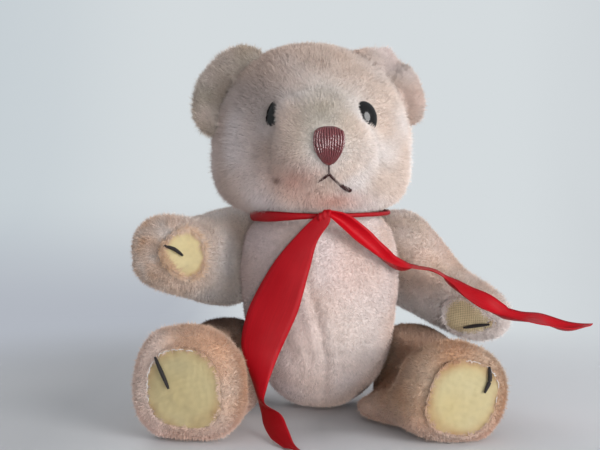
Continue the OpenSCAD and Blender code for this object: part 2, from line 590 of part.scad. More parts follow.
module knot() {
  function k(a, b) = let (q = 1 + 0.12 * cos(3 * a + b))
    [0.8 + 6.6 * q * cos(b) * cos(a), -40.6 + 5.4 * cos(b) * sin(a), torso_h - 2.7 + 4 * sin(b) - 0.8 * cos(a)];
  skin([for (b = [-60, -25, 10, 45, 70]) [for (i = [0 : 13]) k(-i * 360 / 14, b)]], k(0, -90), k(0, 90));
}
module neck_ribbon() {
  color(satin) {
    hoop([for (i = [0 : 47]) let (c = cos(i * 7.5), s = sin(i * 7.5))
      [for (q = [[0, 0], [ribbon_t, 0], [ribbon_t + 0.3, band_h], [0.3, band_h]])
        [(band_r + q[0]) * c, (band_r + q[0]) * s, torso_h - band_low + q[1]]]]);
    strip(tail_right);
    strip(tail_left);
    knot();
  }
}

module head_disc() { limb_disc(neck); }
module head_washer() { limb_washer(neck); }
module right_arm_cover() { arm_cover(-1, 0); }
module right_arm_stuffing() { arm_stuffing(-1, 0); }
module right_paw_pad() { paw_pad(-1, 0); }
module right_paw_claw() { paw_claw(-1, 0); }
module right_arm_disc() { limb_disc(shoulder(-1)); }
module right_arm_washer() { limb_washer(shoulder(-1)); }
module left_arm_cover() { arm_cover(1, left_arm_drop); }
module left_arm_stuffing() { arm_stuffing(1, left_arm_drop); }
module left_paw_pad() { paw_pad(1, left_arm_drop); }
module left_paw_claw() { paw_claw(1, left_arm_drop); }
module left_arm_disc() { limb_disc(shoulder(1)); }
module left_arm_washer() { limb_washer(shoulder(1)); }
module right_leg_cover() { leg_cover(-1); }
module right_leg_stuffing() { leg_stuffing(-1); }
module right_foot_pad() { foot_pad(-1); }
module right_foot_claw() { foot_claw(-1, false); }
module right_leg_disc() { limb_disc(hip(-1)); }
module right_leg_washer() { limb_washer(hip(-1)); }
module left_leg_cover() { leg_cover(1); }
module left_leg_stuffing() { leg_stuffing(1); }
module left_foot_pad() { foot_pad(1); }
module left_foot_claw() { foot_claw(1, true); }
module left_leg_disc() { limb_disc(hip(1)); }
module left_leg_washer() { limb_washer(hip(1)); }

torso_cover();
torso_stuffing();
torso_discs();
torso_washers();
joint_pins();
neck_ribbon();
head_cover();
head_stuffing();
right_ear();
left_ear();
right_eye();
left_eye();
nose_stitches();
mouth_stitches();
head_disc();
head_washer();
right_arm_cover();
right_arm_stuffing();
right_paw_pad();
right_paw_claw();
right_arm_disc();
right_arm_washer();
left_arm_cover();
left_arm_stuffing();
left_paw_pad();
left_paw_claw();
left_arm_disc();
left_arm_washer();
right_leg_cover();
right_leg_stuffing();
right_foot_pad();
right_foot_claw();
right_leg_disc();
right_leg_washer();
left_leg_cover();
left_leg_stuffing();
left_foot_pad();
left_foot_claw();
left_leg_disc();
left_leg_washer();
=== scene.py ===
import math
import bmesh
import bpy
import numpy as np
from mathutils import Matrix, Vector
from mathutils.bvhtree import BVHTree
from mathutils.kdtree import KDTree


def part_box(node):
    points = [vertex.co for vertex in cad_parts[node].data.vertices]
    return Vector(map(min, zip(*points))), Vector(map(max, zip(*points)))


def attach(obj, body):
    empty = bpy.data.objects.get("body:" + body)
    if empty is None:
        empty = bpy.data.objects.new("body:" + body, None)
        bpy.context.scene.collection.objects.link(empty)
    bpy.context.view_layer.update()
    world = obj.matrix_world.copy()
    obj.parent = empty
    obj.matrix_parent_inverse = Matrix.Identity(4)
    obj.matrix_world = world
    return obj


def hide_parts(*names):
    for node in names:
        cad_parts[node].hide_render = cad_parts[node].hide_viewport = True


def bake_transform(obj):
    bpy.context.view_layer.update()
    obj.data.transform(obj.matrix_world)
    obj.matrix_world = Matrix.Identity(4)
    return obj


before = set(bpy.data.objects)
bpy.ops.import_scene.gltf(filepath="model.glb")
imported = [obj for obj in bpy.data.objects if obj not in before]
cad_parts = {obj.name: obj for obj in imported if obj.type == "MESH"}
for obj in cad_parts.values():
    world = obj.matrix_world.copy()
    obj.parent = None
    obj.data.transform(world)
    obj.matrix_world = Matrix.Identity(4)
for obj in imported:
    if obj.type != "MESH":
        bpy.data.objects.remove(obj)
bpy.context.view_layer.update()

MM = 0.001
UP = np.array([0.0, 0.0, 1.0])
# Heights above the floor that nothing goes below: roots of the pile, cloth, and all the rest
ROOT_GAP, CLOTH_GAP, FLOOR_GAP = 0.2 * MM, 0.25 * MM, 0.3 * MM


# ---------------------------------------------------------------- helpers
def lin(r, g, b):
    """Linear colour from a display colour in 0 to 255."""
    return np.array([((c / 255 + 0.055) / 1.055) ** 2.4 if c > 10 else c / 255 / 12.92 for c in (r, g, b)])


def unit(v):
    v = np.asarray(v, float)
    return v / np.maximum(np.linalg.norm(v, axis=-1, keepdims=True), 1e-12)


def smooth01(t):
    t = np.clip(t, 0, 1)
    return t * t * (3 - 2 * t)


def ramp(x, start, width):
    """0 up to start, rising smoothly to 1 over width."""
    return smooth01((x - start) / width)


def lattice(i, j, k, seed):
    """A number from 0 to 1 for each whole-numbered place, by hashing."""
    h = (i * 73856093) ^ (j * 19349663) ^ (k * 83492791) ^ (seed * 2654435761)
    h = (h ^ (h >> 13)) * 1274126177 & 0xFFFFFFFF
    return ((h ^ (h >> 16)) & 0xFFFFFF) / float(0xFFFFFF)


def noise(p, size, seed=1):
    """Value noise from -1 to 1 with features about size millimetres across."""
    q = np.asarray(p) / (size * MM) + 1000.0
    f = np.floor(q).astype(np.int64)
    t = q - f
    t = t * t * (3 - 2 * t)
    out = 0
    for a in (0, 1):
        for b in (0, 1):
            for c in (0, 1):
                w = ((t[:, 0] if a else 1 - t[:, 0]) * (t[:, 1] if b else 1 - t[:, 1])
                     * (t[:, 2] if c else 1 - t[:, 2]))
                out = out + w * lattice(f[:, 0] + a, f[:, 1] + b, f[:, 2] + c, seed)
    return out * 2 - 1


def noise3(p, size, seed):
    """Three noises at each point, as a vector."""
    return np.stack([noise(p, size, seed + k) for k in range(3)], 1)


def near_path(p, path):
    """Distance from each point to a polyline."""
    p = np.asarray(p)
    best = np.full(len(p), 1e9)
    path = np.asarray(path, float)
    for a, b in zip(path[:-1], path[1:]):
        d = b - a
        t = np.clip(((p - a) @ d) / max(d @ d, 1e-18), 0, 1)
        best = np.minimum(best, np.linalg.norm(p - (a + t[:, None] * d), axis=1))
    return best


def near_line(p, path, width, away=0):
    """1 at a distance away from a path, falling off over width, both in millimetres."""
    return np.exp(-((near_path(p, path) - away * MM) / (width * MM)) ** 2)


def oval(p, x, z, rx, rz):
    """1 at a place seen from the front, falling off over rx and rz, all in millimetres."""
    return np.exp(-((p[:, 0] / MM - x) / rx) ** 2 - ((p[:, 2] / MM - z) / rz) ** 2)


def curve_through(pts, steps):
    """Points of a Catmull-Rom curve through pts."""
    pts = np.asarray(pts, float)
    ext = np.vstack([2 * pts[0] - pts[1], pts, 2 * pts[-1] - pts[-2]])
    out = []
    for i in range(len(pts) - 1):
        a, b, c, d = ext[i:i + 4]
        for t in np.arange(steps) / steps:
            out.append(0.5 * (2 * b + (c - a) * t + (2 * a - 5 * b + 4 * c - d) * t * t
                              + (3 * b - a - 3 * c + d) * t ** 3))
    out.append(pts[-1])
    return np.array(out)


def steps_along(path):
    """The length of a polyline from its start to each of its points."""
    return np.concatenate([[0], np.cumsum(np.linalg.norm(np.diff(path, axis=0), axis=1))])


def new_mesh(name, V, F, smooth=True):
    """A mesh object from an array of points and faces of equal size, or a list of faces."""
    me = bpy.data.meshes.new(name)
    if isinstance(F, np.ndarray):
        k = F.shape[1]
        me.vertices.add(len(V))
        me.vertices.foreach_set("co", np.asarray(V, np.float32).ravel())
        me.loops.add(F.size)
        me.loops.foreach_set("vertex_index", F.astype(np.int32).ravel())
        me.polygons.add(len(F))
        me.polygons.foreach_set("loop_start", np.arange(0, F.size, k, dtype=np.int32))
        me.update(calc_edges=True)
    else:
        me.from_pydata([tuple(v) for v in V], [], [tuple(f) for f in F])
        me.update()
    me.polygons.foreach_set("use_smooth", np.full(len(me.polygons), smooth))
    ob = bpy.data.objects.new(name, me)
    bpy.context.scene.collection.objects.link(ob)
    return ob


def arrays(me):
    V = np.zeros(len(me.vertices) * 3)
    me.vertices.foreach_get("co", V)
    me.calc_loop_triangles()
    T = np.zeros(len(me.loop_triangles) * 3, np.int32)
    me.loop_triangles.foreach_get("vertices", T)
    return V.reshape(-1, 3), T.reshape(-1, 3)


def crosses(V, T):
    """For each triangle, a normal whose length is twice the area."""
    return np.cross(V[T[:, 1]] - V[T[:, 0]], V[T[:, 2]] - V[T[:, 0]])


def vertex_normals(V, T):
    fn = crosses(V, T)
    n = np.zeros_like(V)
    for k in range(3):
        np.add.at(n, T[:, k], fn)
    return unit(n)


def relax(V, edges, rounds):
    """Taubin smoothing over an edge list."""
    deg = np.zeros(len(V))
    np.add.at(deg, edges[:, 0], 1)
    np.add.at(deg, edges[:, 1], 1)
    deg = np.maximum(deg, 1)[:, None]
    for _ in range(rounds):
        for share in (0.55, -0.57):
            s = np.zeros_like(V)
            np.add.at(s, edges[:, 0], V[edges[:, 1]])
            np.add.at(s, edges[:, 1], V[edges[:, 0]])
            V = V + share * (s / deg - V)
    return V


def paint(ob, name, rgb):
    """A colour attribute on the points of ob."""
    at = ob.data.color_attributes.new(name, "FLOAT_COLOR", "POINT")
    at.data.foreach_set("color", np.hstack([rgb, np.ones((len(rgb), 1))]).astype(np.float32).ravel())


def tree_of(V, T):
    return BVHTree.FromPolygons([tuple(v) for v in V], [tuple(t) for t in T.tolist()])


def two_layers(rows, cols, closed=False):
    """Faces of two layers of rows x cols points, shut at their edges; closed joins the last row to the first."""
    F, m = [], rows * cols
    for i in range(rows if closed else rows - 1):
        j = (i + 1) % rows
        for k in range(cols - 1):
            a, b = i * cols + k, j * cols + k
            F += [(a, b, b + 1, a + 1), (m + a, m + a + 1, m + b + 1, m + b)]
        a, b = i * cols, j * cols
        F.append((a, m + a, m + b, b))
        a, b = a + cols - 1, b + cols - 1
        F.append((a, b, m + b, m + a))
    if not closed:
        for k in range(cols - 1):
            F.append((k, k + 1, m + k + 1, m + k))
        for a in range(m - cols, m - 1):
            F.append((a, m + a, m + a + 1, a + 1))
    return F


def dress(ob, mat):
    ob.data.materials.clear()
    ob.data.materials.append(mat)


def piece(name, V, F, mat, body, slot=None, stands_for=(), tint=None, uv=None, smooth=True, outward=False):
    """A mesh with its paint and material, that rides on a body and stands for CAD nodes."""
    ob = new_mesh(name, V, F, smooth)
    if uv is not None:
        loops = np.zeros(len(ob.data.loops), np.int32)
        ob.data.loops.foreach_get("vertex_index", loops)
        layer = ob.data.uv_layers.new(name="cloth")
        layer.data.foreach_set("uv", uv[loops].astype(np.float32).ravel())
    if tint is not None:
        paint(ob, "tint", tint)
    if outward:
        bm = bmesh.new()
        bm.from_mesh(ob.data)
        bmesh.ops.recalc_face_normals(bm, faces=bm.faces)
        bm.to_mesh(ob.data)
        bm.free()
    dress(ob, mat)
    if body:
        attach(ob, body)
    if stands_for:
        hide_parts(*stands_for)
    return ob


# ---------------------------------------------------------------- skins
def remeshed(me, voxel):
    """A closed mesh, remeshed to even faces."""
    tmp = bpy.data.objects.new("tmp", me)
    bpy.context.scene.collection.objects.link(tmp)
    mod = tmp.modifiers.new("r", "REMESH")
    mod.mode = "VOXEL"
    mod.voxel_size = voxel
    dg = bpy.context.evaluated_depsgraph_get()
    out = bpy.data.meshes.new_from_object(tmp.evaluated_get(dg))
    bpy.data.objects.remove(tmp)
    return out


def welded(node):
    """The mesh of a CAD node, its doubled points joined."""
    bm = bmesh.new()
    bm.from_mesh(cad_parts[node].data)
    bmesh.ops.remove_doubles(bm, verts=bm.verts, dist=1e-5)
    return bm


def outside(bm):
    """Leaves the outer shell of a hollow CAD cover, with its joint openings closed."""
    bm.faces.ensure_lookup_table()
    tree = BVHTree.FromBMesh(bm)
    inner = []
    for f in bm.faces:
        c, n = f.calc_center_median(), f.normal
        a = n.orthogonal()
        b = n.cross(a)
        # An outer face is free to the outside in most of five directions
        free = 0
        for d in (n, n + 0.5 * a, n - 0.5 * a, n + 0.5 * b, n - 0.5 * b):
            free += tree.ray_cast(c + n * 2e-5, d.normalized())[0] is None
        if free < 3:
            inner.append(f)
    bmesh.ops.delete(bm, geom=inner, context="FACES")
    # Keep the largest connected shell
    left = set(bm.verts)
    best = []
    while left:
        v = left.pop()
        group, todo = [v], [v]
        while todo:
            for e in todo.pop().link_edges:
                for w in e.verts:
                    if w in left:
                        left.discard(w)
                        group.append(w)
                        todo.append(w)
        if len(group) > len(best):
            best = group
    keep = set(best)
    bmesh.ops.delete(bm, geom=[v for v in bm.verts if v not in keep], context="VERTS")
    # Filling a hole can leave another beside it
    for _ in range(3):
        rim = [e for e in bm.edges if e.is_boundary]
        if not rim:
            break
        bmesh.ops.holes_fill(bm, edges=rim, sides=0)
    bmesh.ops.triangulate(bm, faces=bm.faces)
    bmesh.ops.recalc_face_normals(bm, faces=bm.faces)


def skin(node, voxel=2.0 * MM, rounds=8, hollow=True):
    """Smooth points, triangles and normals over the outside of a CAD node."""
    bm = welded(node)
    if hollow:
        outside(bm)
    me = bpy.data.meshes.new(node + "_shell")
    bm.to_mesh(me)
    bm.free()
    me = remeshed(me, voxel)
    V, T = arrays(me)
    edges = np.zeros(len(me.edges) * 2, np.int32)
    me.edges.foreach_get("vertices", edges)
    V = relax(V, edges.reshape(-1, 2), rounds)
    return {"V": V, "T": T, "N": vertex_normals(V, T)}


def middle(node):
    lo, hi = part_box(node)
    return (np.array(lo) + np.array(hi)) / 2


# ---------------------------------------------------------------- materials
def material(name, colour=(0.5, 0.5, 0.5), rough=0.8, sheen=0.0, spec=0.3, coat=0.0, metal=0.0):
    m = bpy.data.materials.new(name)
    m.use_nodes = True
    b = m.node_tree.nodes["Principled BSDF"]
    for socket, value in (("Base Color", (*colour, 1)), ("Roughness", rough), ("Specular IOR Level", spec),
                          ("Sheen Weight", sheen), ("Sheen Roughness", 0.45), ("Coat Weight", coat),
                          ("Coat Roughness", 0.12), ("Metallic", metal)):
        b.inputs[socket].default_value = value
    return m, m.node_tree, b


def node(nt, kind, *inputs, **settings):
    """A node. inputs, in order, are values, outputs to link from, or None for no change."""
    n = nt.nodes.new(kind)
    for k, v in settings.items():
        if k in n.inputs:
            n.inputs[k].default_value = v
        else:
            setattr(n, k, v)
    for socket, v in zip(n.inputs, inputs):
        if isinstance(v, bpy.types.NodeSocket):
            nt.links.new(v, socket)
        elif v is not None:
            socket.default_value = v
    return n


def grain(nt, scale, detail):
    """Noise from 0 to 1 in the object's own space."""
    place = node(nt, "ShaderNodeTexCoord").outputs["Object"]
    return node(nt, "ShaderNodeTexNoise", place, Scale=scale, Detail=detail).outputs["Fac"]


def map_range(nt, value, low, high, to_low, to_high):
    return node(nt, "ShaderNodeMapRange", value, low, high, to_low, to_high).outputs["Result"]


def maths(nt, operation, *inputs):
    return node(nt, "ShaderNodeMath", *inputs, operation=operation).outputs[0]


def paint_times(nt, b, factor):
    """Base colour: the painted tint times a factor."""
    tint = node(nt, "ShaderNodeAttribute", attribute_name="tint").outputs["Color"]
    product = node(nt, "ShaderNodeVectorMath", tint, factor, operation="MULTIPLY")
    nt.links.new(product.outputs[0], b.inputs["Base Color"])


def tinted(nt, b, scale, low, high):
    """Base colour from the painted tint, varied by noise between low and high."""
    paint_times(nt, b, map_range(nt, grain(nt, scale, 3.0), 0.3, 0.7, low, high))


def two_tone(nt, b, fac, low, high):
    """Base colour from low to high by fac."""
    blend = node(nt, "ShaderNodeMix", fac, data_type="RGBA", blend_type="MIX")
    blend.inputs[6].default_value = (*low, 1)
    blend.inputs[7].default_value = (*high, 1)
    nt.links.new(blend.outputs[2], b.inputs["Base Color"])


def bump(nt, b, height, strength, distance):
    bp = node(nt, "ShaderNodeBump", Strength=strength, Distance=distance)
    nt.links.new(height, bp.inputs["Height"])
    nt.links.new(bp.outputs["Normal"], b.inputs["Normal"])


# Pile: each tuft carries its own colour; roots are painted darker than tips, as painted shade deep in the pile and
# painted light at the tips
PILE, nt, b = material("pile", rough=0.9, sheen=0.4, spec=0.12)
tinted(nt, b, 900.0, 0.92, 1.08)
# Backing: the woven cloth that shows where the pile is thin
BACKING, nt, b = material("backing", rough=0.95, sheen=0.15, spec=0.1)
tinted(nt, b, 400.0, 0.86, 1.1)
bump(nt, b, grain(nt, 2200.0, 2.0), 0.6, 0.0006)


def weave_material(name, pitch, rough, sheen, low, high):
    """A plain weave of threads pitch apart, over a painted colour."""
    m, nt, b = material(name, rough=rough, sheen=sheen, spec=0.15)
    uv = node(nt, "ShaderNodeUVMap", uv_map="cloth").outputs["UV"]
    warp = node(nt, "ShaderNodeTexNoise", uv, Scale=55.0, Detail=1.0).outputs["Color"]
    bent = node(nt, "ShaderNodeVectorMath", warp, (0.0012, 0.0012, 0), uv, operation="MULTIPLY_ADD").outputs[0]
    threads = [node(nt, "ShaderNodeTexWave", bent, bands_direction=axis, Scale=0.5 / pitch, Distortion=0.6,
                    Detail=1.0, **{"Detail Scale": 2.0}).outputs["Fac"] for axis in "XY"]
    height = maths(nt, "MULTIPLY_ADD", maths(nt, "MULTIPLY", *threads), 0.5, maths(nt, "MAXIMUM", *threads))
    paint_times(nt, b, map_range(nt, height, 0.2, 1.4, low, high))
    bump(nt, b, height, 0.8, 0.0004)
    return m


WEAVE = weave_material("pad_weave", 0.0008, 0.88, 0.15, 0.88, 1.04)
COARSE = weave_material("pad_weave_worn", 0.0014, 0.92, 0.1, 0.62, 1.08)


def thread_material(name, colour, rough, spec, sheen=0.1, coat=0.0):
    """Twisted thread: fine fibres along it, a little colour variation."""
    m, nt, b = material(name, colour, rough, sheen, spec, coat)
    fibres = grain(nt, 1800.0, 3.0)
    two_tone(nt, b, fibres, colour * 0.6, np.minimum(colour * 1.5, 1))
    bump(nt, b, fibres, 0.35, 0.0003)
    return m


CLAW = thread_material("claw_thread", lin(38, 34, 34), 0.7, 0.25)
MOUTH = thread_material("mouth_thread", lin(54, 28, 28), 0.75, 0.15)
NOSE = thread_material("nose_thread", lin(98, 34, 38), 0.24, 0.7, 0.0, 0.9)
WHITE = thread_material("seam_thread", lin(224, 220, 214), 0.7, 0.2)

EYE, nt, b = material("eye", lin(13, 11, 11), 0.08, 0.0, 0.35)
nt.links.new(map_range(nt, grain(nt, 900.0, 4.0), 0.45, 0.75, 0.06, 0.3), b.inputs["Roughness"])

SATIN, nt, b = material("satin", lin(150, 3, 14), 0.45, 0.0, 0.2)
uv = node(nt, "ShaderNodeUVMap", uv_map="cloth").outputs["UV"]
rib = node(nt, "ShaderNodeTexWave", uv, bands_direction="Y", Scale=1500.0, Distortion=0.4)
drawn = node(nt, "ShaderNodeMapping", uv, Scale=(1800, 60, 1)).outputs["Vector"]
streak = node(nt, "ShaderNodeTexNoise", drawn, Scale=1.0, Detail=3.0)
paint_times(nt, b, map_range(nt, streak.outputs["Fac"], 0.3, 0.7, 0.9, 1.08))
bump(nt, b, rib.outputs["Fac"], 0.25, 0.0002)

HARD, nt, b = material("fibreboard", lin(118, 92, 66), 0.85, 0.0, 0.2)
flecks = grain(nt, 600.0, 4.0)
two_tone(nt, b, flecks, lin(96, 72, 50), lin(134, 106, 78))
bump(nt, b, flecks, 0.4, 0.0004)

STEEL, nt, b = material("steel", lin(176, 174, 170), 0.35, 0.0, 0.5, metal=1.0)
bump(nt, b, grain(nt, 1200.0, 2.0), 0.2, 0.0001)

STUFFING, nt, b = material("stuffing", lin(214, 206, 186), 0.95, 0.2, 0.1)
bump(nt, b, grain(nt, 500.0, 4.0), 0.8, 0.001)

FINISH = {"disc": HARD, "discs": HARD, "washer": STEEL, "washers": STEEL, "pins": STEEL, "stuffing": STUFFING,
          "ribbon": SATIN, "eye": EYE, "claw": CLAW, "pad": WEAVE}
for n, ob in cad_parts.items():
    dress(ob, FINISH.get(n.split("_")[-1], BACKING))


# ---------------------------------------------------------------- colours of the plush
ROSE = lin(229, 218, 217)
ROSE_DEEP = lin(226, 200, 198)
TAN = lin(218, 204, 194)
BUFF = lin(221, 186, 160)
BROWN = lin(192, 162, 142)
PALE = lin(233, 228, 227)
GREY = lin(204, 194, 194)
OLIVE = lin(192, 181, 169)
BLUSH = lin(212, 172, 160)
DEEP = lin(142, 112, 96)
CROWN = lin(190, 169, 156)


def mix(a, b, t):
    t = np.clip(np.atleast_1d(t), 0, 1)[:, None]
    return a * (1 - t) + b * t


def blob(p, centre, radius):
    return np.exp(-np.sum(((p - np.asarray(centre)) / radius) ** 2, axis=1))


def shaded(c, amount):
    """Colours made darker by a share at each point, or lighter where it is below 0."""
    return c * (1 - amount)[:, None]


def mottled(p, base, seed):
    """Soft uneven soiling over a base colour."""
    c = base * np.ones((len(p), 1))
    c = mix(c, c * lin(236, 224, 214) / lin(246, 246, 246), 0.6 + 0.8 * noise(p, 14, seed))
    return shaded(c, -0.06 * noise(p, 5, seed + 1))


def share_along(p, start, end, last):
    """How far each point is on the way from start, 0, to end, 1, and past it up to last."""
    return np.clip(((p - start) @ (end - start)) / np.dot(end - start, end - start), 0, last)


torso_lo, torso_hi = map(np.array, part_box("torso_cover"))
nose_c = middle("nose_stitches")
ear_mid = middle("right_ear")


def head_colour(p):
    x, z = p[:, 0] / MM, p[:, 2] / MM
    ahead = ramp(-p[:, 1], 0, 12 * MM)
    # Greyer towards the bear's right side of the face: painted shade of the side away from the light
    c = mottled(p, mix(PALE, GREY, 0.95 * ramp(-x, -6, 34)), 3)
    c = mix(c, CROWN, 0.85 * ramp(z, 149, 22) * (0.75 + 0.4 * noise(p, 9, 5)))
    # The bridge, the cheek, the chin's band below the mouth and the muzzle; the chin's band is its own pink with
    # painted shade of the fold below the mouth
    c = mix(c, OLIVE, 0.85 * ahead * oval(p, 1, 147, 12, 10) * (0.9 + 0.3 * noise(p, 6, 6)))
    c = mix(c, BLUSH, 0.8 * ahead * oval(p, -11, 113, 13, 8) * (0.9 + 0.4 * noise(p, 7, 9)))
    # Its own pink with painted shade: the band in the fold below the mouth
    c = mix(c, BLUSH, 0.98 * ahead * oval(p, 5, 104, 14, 4.5))
    c = mix(c, c * np.array([0.84, 0.86, 0.82]), ahead * oval(p, -2, 134, 13, 13))
    # Soil and painted shade in the crevice at the root of the right ear, painted shade in the muzzle seam and in the
    # crease below the outer corner of the left eye, and a stain on the cheek
    from_root = np.hypot(p[:, 0] - ear_mid[0] - 14 * MM, p[:, 2] - ear_mid[2] + 3 * MM)
    c = shaded(c, 0.46 * ramp(-p[:, 1], -14 * MM, 12 * MM) * np.exp(-(from_root / (13 * MM)) ** 2))
    c = shaded(c, 0.28 * near_line(p, MUZZLE, 1.5))
    c = shaded(c, 0.30 * near_line(p, EYE_CREASE, 1.3))
    stain = np.array([-20.5 * MM, nose_c[1] + 16 * MM, nose_c[2] - 14.5 * MM])
    return mix(c, lin(120, 92, 84), 0.8 * blob(p, stain, 1.9 * MM * np.array([1, 6, 1])))


def ear_colour(p):
    """The right ear is duller than the left, its own colour; it is also darker, most in its cup, by dirt and painted
    shade.
    """
    right = p[:, 0] < 0
    c = mottled(p, mix(ROSE, OLIVE, np.where(right, 0.75, 0.25) + 0.35 * noise(p, 9, 8)), 7)
    core = np.exp(-(np.hypot(p[:, 0] - ear_mid[0], p[:, 2] - ear_mid[2]) / (11 * MM)) ** 2)
    # Dirt and painted shade: the right ear darker, most in its cup
    return shaded(c, np.where(right, 0.30 * core + 0.04, 0))


def torso_colour(p):
    front_y = torso_lo[1]
    c = mix(mottled(p, ROSE, 11), ROSE_DEEP, 0.35 * blob(p, [12 * MM, front_y, 70 * MM], 18 * MM)
            + 0.3 * blob(p, [-16 * MM, front_y, 45 * MM], 14 * MM))
    # Greyer and darker towards the bear's right side: painted shade of the side away from the light
    c = mix(c, lin(188, 168, 168), 0.65 * ramp(-p[:, 0], 4 * MM, 22 * MM))
    c = shaded(c, -0.14 * ramp(-p[:, 2], -34 * MM, 14 * MM))
    return mix(c, PALE, 0.5 * blob(p, [20 * MM, front_y, 40 * MM], 20 * MM))


def arm_colour(side):
    pad, top = middle(side + "_paw_pad"), middle(side + "_arm_disc")

    def f(p):
        t = share_along(p, top, pad, 1.6)
        if side == "right":
            c = mottled(p, mix(PALE, TAN, 0.25 + 0.4 * noise(p, 12, 13)), 14) * 1.06
        else:
            c = mottled(p, mix(TAN, ROSE, 0.4 + 0.4 * noise(p, 10, 15)), 16) * 1.04
        c = mix(c, BUFF, ramp(t, 0.75, 0.5) * (0.6 + 0.5 * noise(p, 4, 17)))
        if side == "right":
            return shaded(c, 0.16 * ramp(t, 0.95, 0.2))
        c = shaded(c, -0.14 * blob(p, [56 * MM, p[:, 1].min(), 71 * MM], np.array([14, 400, 10]) * MM))
        # The lower side of the left arm painted paler: painted light from below
        return mix(c, PALE * 1.08, 0.8 * smooth01((top[2] - 8 * MM - p[:, 2]) / (18 * MM)))
    return f


def leg_colour(side):
    pad, hip = middle(side + "_foot_pad"), middle(side + "_leg_disc")

    def f(p):
        t = share_along(p, hip, pad, 1.3)
        c = mottled(p, mix(TAN, BUFF, 0.6 + 0.5 * noise(p, 11, 19)), 20)
        if side == "left":
            c = c * np.array([0.92, 0.90, 0.84])
            # Browner at the hip end, more so higher up
            browner_up = 0.25 + 0.6 * ramp(p[:, 2], 14 * MM, 24 * MM) + 0.3 * noise(p, 12, 21)
            c = mix(c, BROWN, 0.9 * (1 - ramp(t, 0.62, 0.3)) * browner_up)
        else:
            c = mix(c, BROWN, 0.7 * (1 - ramp(t, 0.1, 0.4)))
            # Darker brown at the hip: brown cloth with painted shade in the gap between the leg, the torso and the
            # arm
            c = mix(c, DEEP, 0.9 * (1 - ramp(t, 0.2, 0.34)))
            # The top of the thigh near the hip painted darker: painted shade under the arm
            c = shaded(c, 0.30 * ramp(p[:, 2], 32 * MM, 10 * MM) * (1 - ramp(t, 0.62, 0.2)))
            c = mix(c, ROSE, 0.5 * ramp(t, 0.8, 0.2) * smooth01((pad[0] - p[:, 0]) / (14 * MM)))
        return mix(c, ROSE_DEEP, 0.35 * ramp(-p[:, 2], -18 * MM, 16 * MM))
    return f


# ---------------------------------------------------------------- bodies of cloth
LIMBS = ("right_arm_cover", "left_arm_cover", "right_leg_cover", "left_leg_cover")
EARS = ("right_ear", "left_ear")
BODY = {"torso_cover": "torso", "head_cover": "head", "right_ear": "head", "left_ear": "head"}
BODY.update({name: name.replace("_cover", "") for name in LIMBS})
PADS = {name: name.replace("arm_cover", "paw_pad").replace("leg_cover", "foot_pad") for name in LIMBS}
PAD_BODY = {pad: BODY[name] for name, pad in PADS.items()}

skins = {name: skin(name) for name in ("torso_cover", "head_cover", *LIMBS)}
skins.update({name: skin(name, 1.3 * MM, 6, hollow=False) for name in EARS})


def press(name, offset):
    """Moves a skin along its normals, by millimetres at each point."""
    s = skins[name]
    s["V"] = s["V"] + s["N"] * (offset * MM)[:, None]
    s["N"] = vertex_normals(s["V"], s["T"])


def front(name, x, z):
    """The point of a skin met from the front at x, z in millimetres."""
    s = skins[name]
    if "tree" not in s:
        s["tree"] = tree_of(s["V"], s["T"])
    hit = s["tree"].ray_cast(Vector((x * MM, -0.3, z * MM)), Vector((0, 1, 0)))[0]
    return np.array(hit) if hit is not None else np.array([x * MM, -0.03, z * MM])


def on_front(name, *places):
    return [front(name, *q) for q in places]


# The CAD covers have their outline at the tips of the pile, so the cloth lies a little inside it
for name, s in skins.items():
    press(name, np.full(len(s["V"]), -0.5 if name in ("torso_cover", "head_cover") else -0.9))

# The torso's front seam, with flattened folds beside it
SEAM = on_front("torso_cover", (-8, 84), (-7, 68), (-4.5, 57), (-1, 45), (1.6, 33), (2.6, 24), (2.2, 12), (2, 4))
FOLD = on_front("torso_cover", (-13, 62), (-9.5, 50), (-7, 38), (-5, 27))
LOW_FOLD = on_front("torso_cover", (-18, 40), (-13, 30), (-9, 20))
V = skins["torso_cover"]["V"]
press("torso_cover", -1.1 * near_line(V, SEAM, 1.7) - 0.7 * near_line(V, FOLD, 2.2)
      + 0.5 * near_line(V, SEAM, 2.4, 4) - 0.5 * near_line(V, LOW_FOLD, 2.6) + 0.45 * noise(V, 16, 31))

# The head: the muzzle panel's seam, sockets round the eyes, the fold of the chin.
# Each eye: where it sits on the face, its half width and half height, its tilt in degrees, how far it is sunk
EYES = {"right_eye": (-22.2, 141.4, 4.5, 10.4, 13, 2.0), "left_eye": (19.9, 142.4, 6.4, 7.8, -12, 1.4)}
EYE_DEPTH = 3.8
MUZZLE = on_front("head_cover", (-24, 118), (-23, 127), (-22.3, 136), (-20.5, 142), (-16.5, 149), (-9, 154),
                  (1, 156.5), (9, 155), (15, 150), (19, 144), (22, 137), (26, 128), (27, 120))
CHIN = on_front("head_cover", (0.5, 112.5), (-4, 108.5), (-9, 106.5), (-14, 106))
EYE_CREASE = on_front("head_cover", (23.0, 135.4), (24.2, 132.8), (25.2, 129.8))
V = skins["head_cover"]["V"]
ahead = ramp(-V[:, 1], 0, 15 * MM)
panel = np.hypot((V[:, 0] / MM - 1.5) / 24, (V[:, 2] / MM - 135) / 21.5)
off = (-1.7 * near_line(V, MUZZLE, 2.0) - 1.0 * near_line(V, CHIN, 2.0) - 1.2 * near_line(V, EYE_CREASE, 1.4)
       + 1.5 * (ahead * smooth01((1.12 - panel) / 0.3)))
